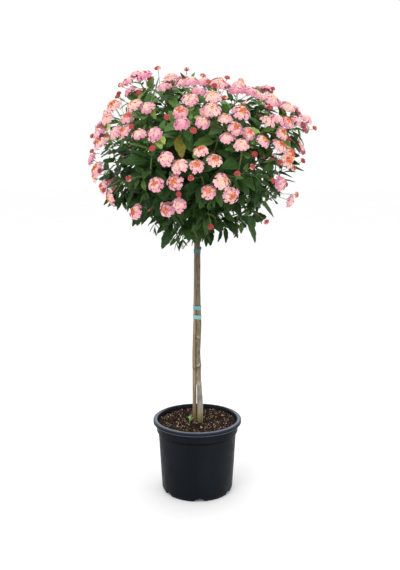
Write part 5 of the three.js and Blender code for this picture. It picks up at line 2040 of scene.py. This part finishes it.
class LANTANA_OT_stage(bpy.types.Operator):
    """Build the floor, the lights and the camera"""

    bl_idname = "lantana.stage"
    bl_label = "Stage"

    def execute(self, context):
        values = context.scene.lantana_stage
        start_fresh()
        bpy.ops.mesh.primitive_plane_add(size=values.floor_size, location=(0, 0, 0))
        floor = context.object
        floor.name = "floor"
        floor.data.materials.append(floor_finish())
        world = context.scene.world or bpy.data.worlds.new("room")
        context.scene.world = world
        world.use_nodes = True
        sky = world.node_tree.nodes["Background"]
        sky.inputs["Color"].default_value = (1, 1, 1, 1)
        sky.inputs["Strength"].default_value = values.sky
        context.scene.view_settings.view_transform = "Standard"
        for name, place, wide, share in LIGHTS:
            bpy.ops.object.light_add(type="AREA", location=place)
            light = context.object
            light.name = name
            light.data.size = wide
            light.data.energy = values.key * share
            aim = Vector(LIGHTS_AIM) - Vector(place)
            light.rotation_euler = aim.to_track_quat("-Z", "Y").to_euler()
        pitch = math.radians(90 - CAMERA["down"])
        bpy.ops.object.camera_add(location=CAMERA["place"], rotation=(pitch, 0, 0))
        camera = context.object
        camera.name = "camera"
        camera.data.sensor_width = CAMERA["sensor"]
        camera.data.lens = values.lens
        context.scene.camera = camera
        return {"FINISHED"}


class LANTANA_PT_panel(bpy.types.Panel):
    """Lists the pieces of the lantana"""

    bl_idname = "LANTANA_PT_panel"
    bl_label = "Lantana Standard"
    bl_space_type = "VIEW_3D"
    bl_region_type = "UI"
    bl_category = "Lantana"

    def draw(self, context):
        for setting in GROUPS:
            group = getattr(context.scene, setting)
            box = self.layout.box()
            for name in group.__annotations__:
                box.prop(group, name)
        for operator in OPERATORS:
            self.layout.operator(operator.bl_idname)


OPERATORS = (LANTANA_OT_stage, LANTANA_OT_pot, LANTANA_OT_soil, LANTANA_OT_cane, LANTANA_OT_trunk,
             LANTANA_OT_leaves, LANTANA_OT_flowers)
GROUPS = {"lantana_foliage": LantanaFoliage, "lantana_potting": LantanaPotting, "lantana_stage": LantanaStage}


def register():
    for one in (*GROUPS.values(), *OPERATORS, LANTANA_PT_panel):
        bpy.utils.register_class(one)
    for name, group in GROUPS.items():
        setattr(bpy.types.Scene, name, bpy.props.PointerProperty(type=group))


def unregister():
    for name in GROUPS:
        delattr(bpy.types.Scene, name)
    for one in reversed((*GROUPS.values(), *OPERATORS, LANTANA_PT_panel)):
        bpy.utils.unregister_class(one)


def main():
    register()
    bpy.ops.lantana.stage()
    bpy.ops.lantana.pot()
    bpy.ops.lantana.soil()
    bpy.ops.lantana.cane()
    bpy.ops.lantana.trunk()
    bpy.ops.lantana.leaves()
    bpy.ops.lantana.flowers()
    start_fresh()


if __name__ == "__main__":
    main()
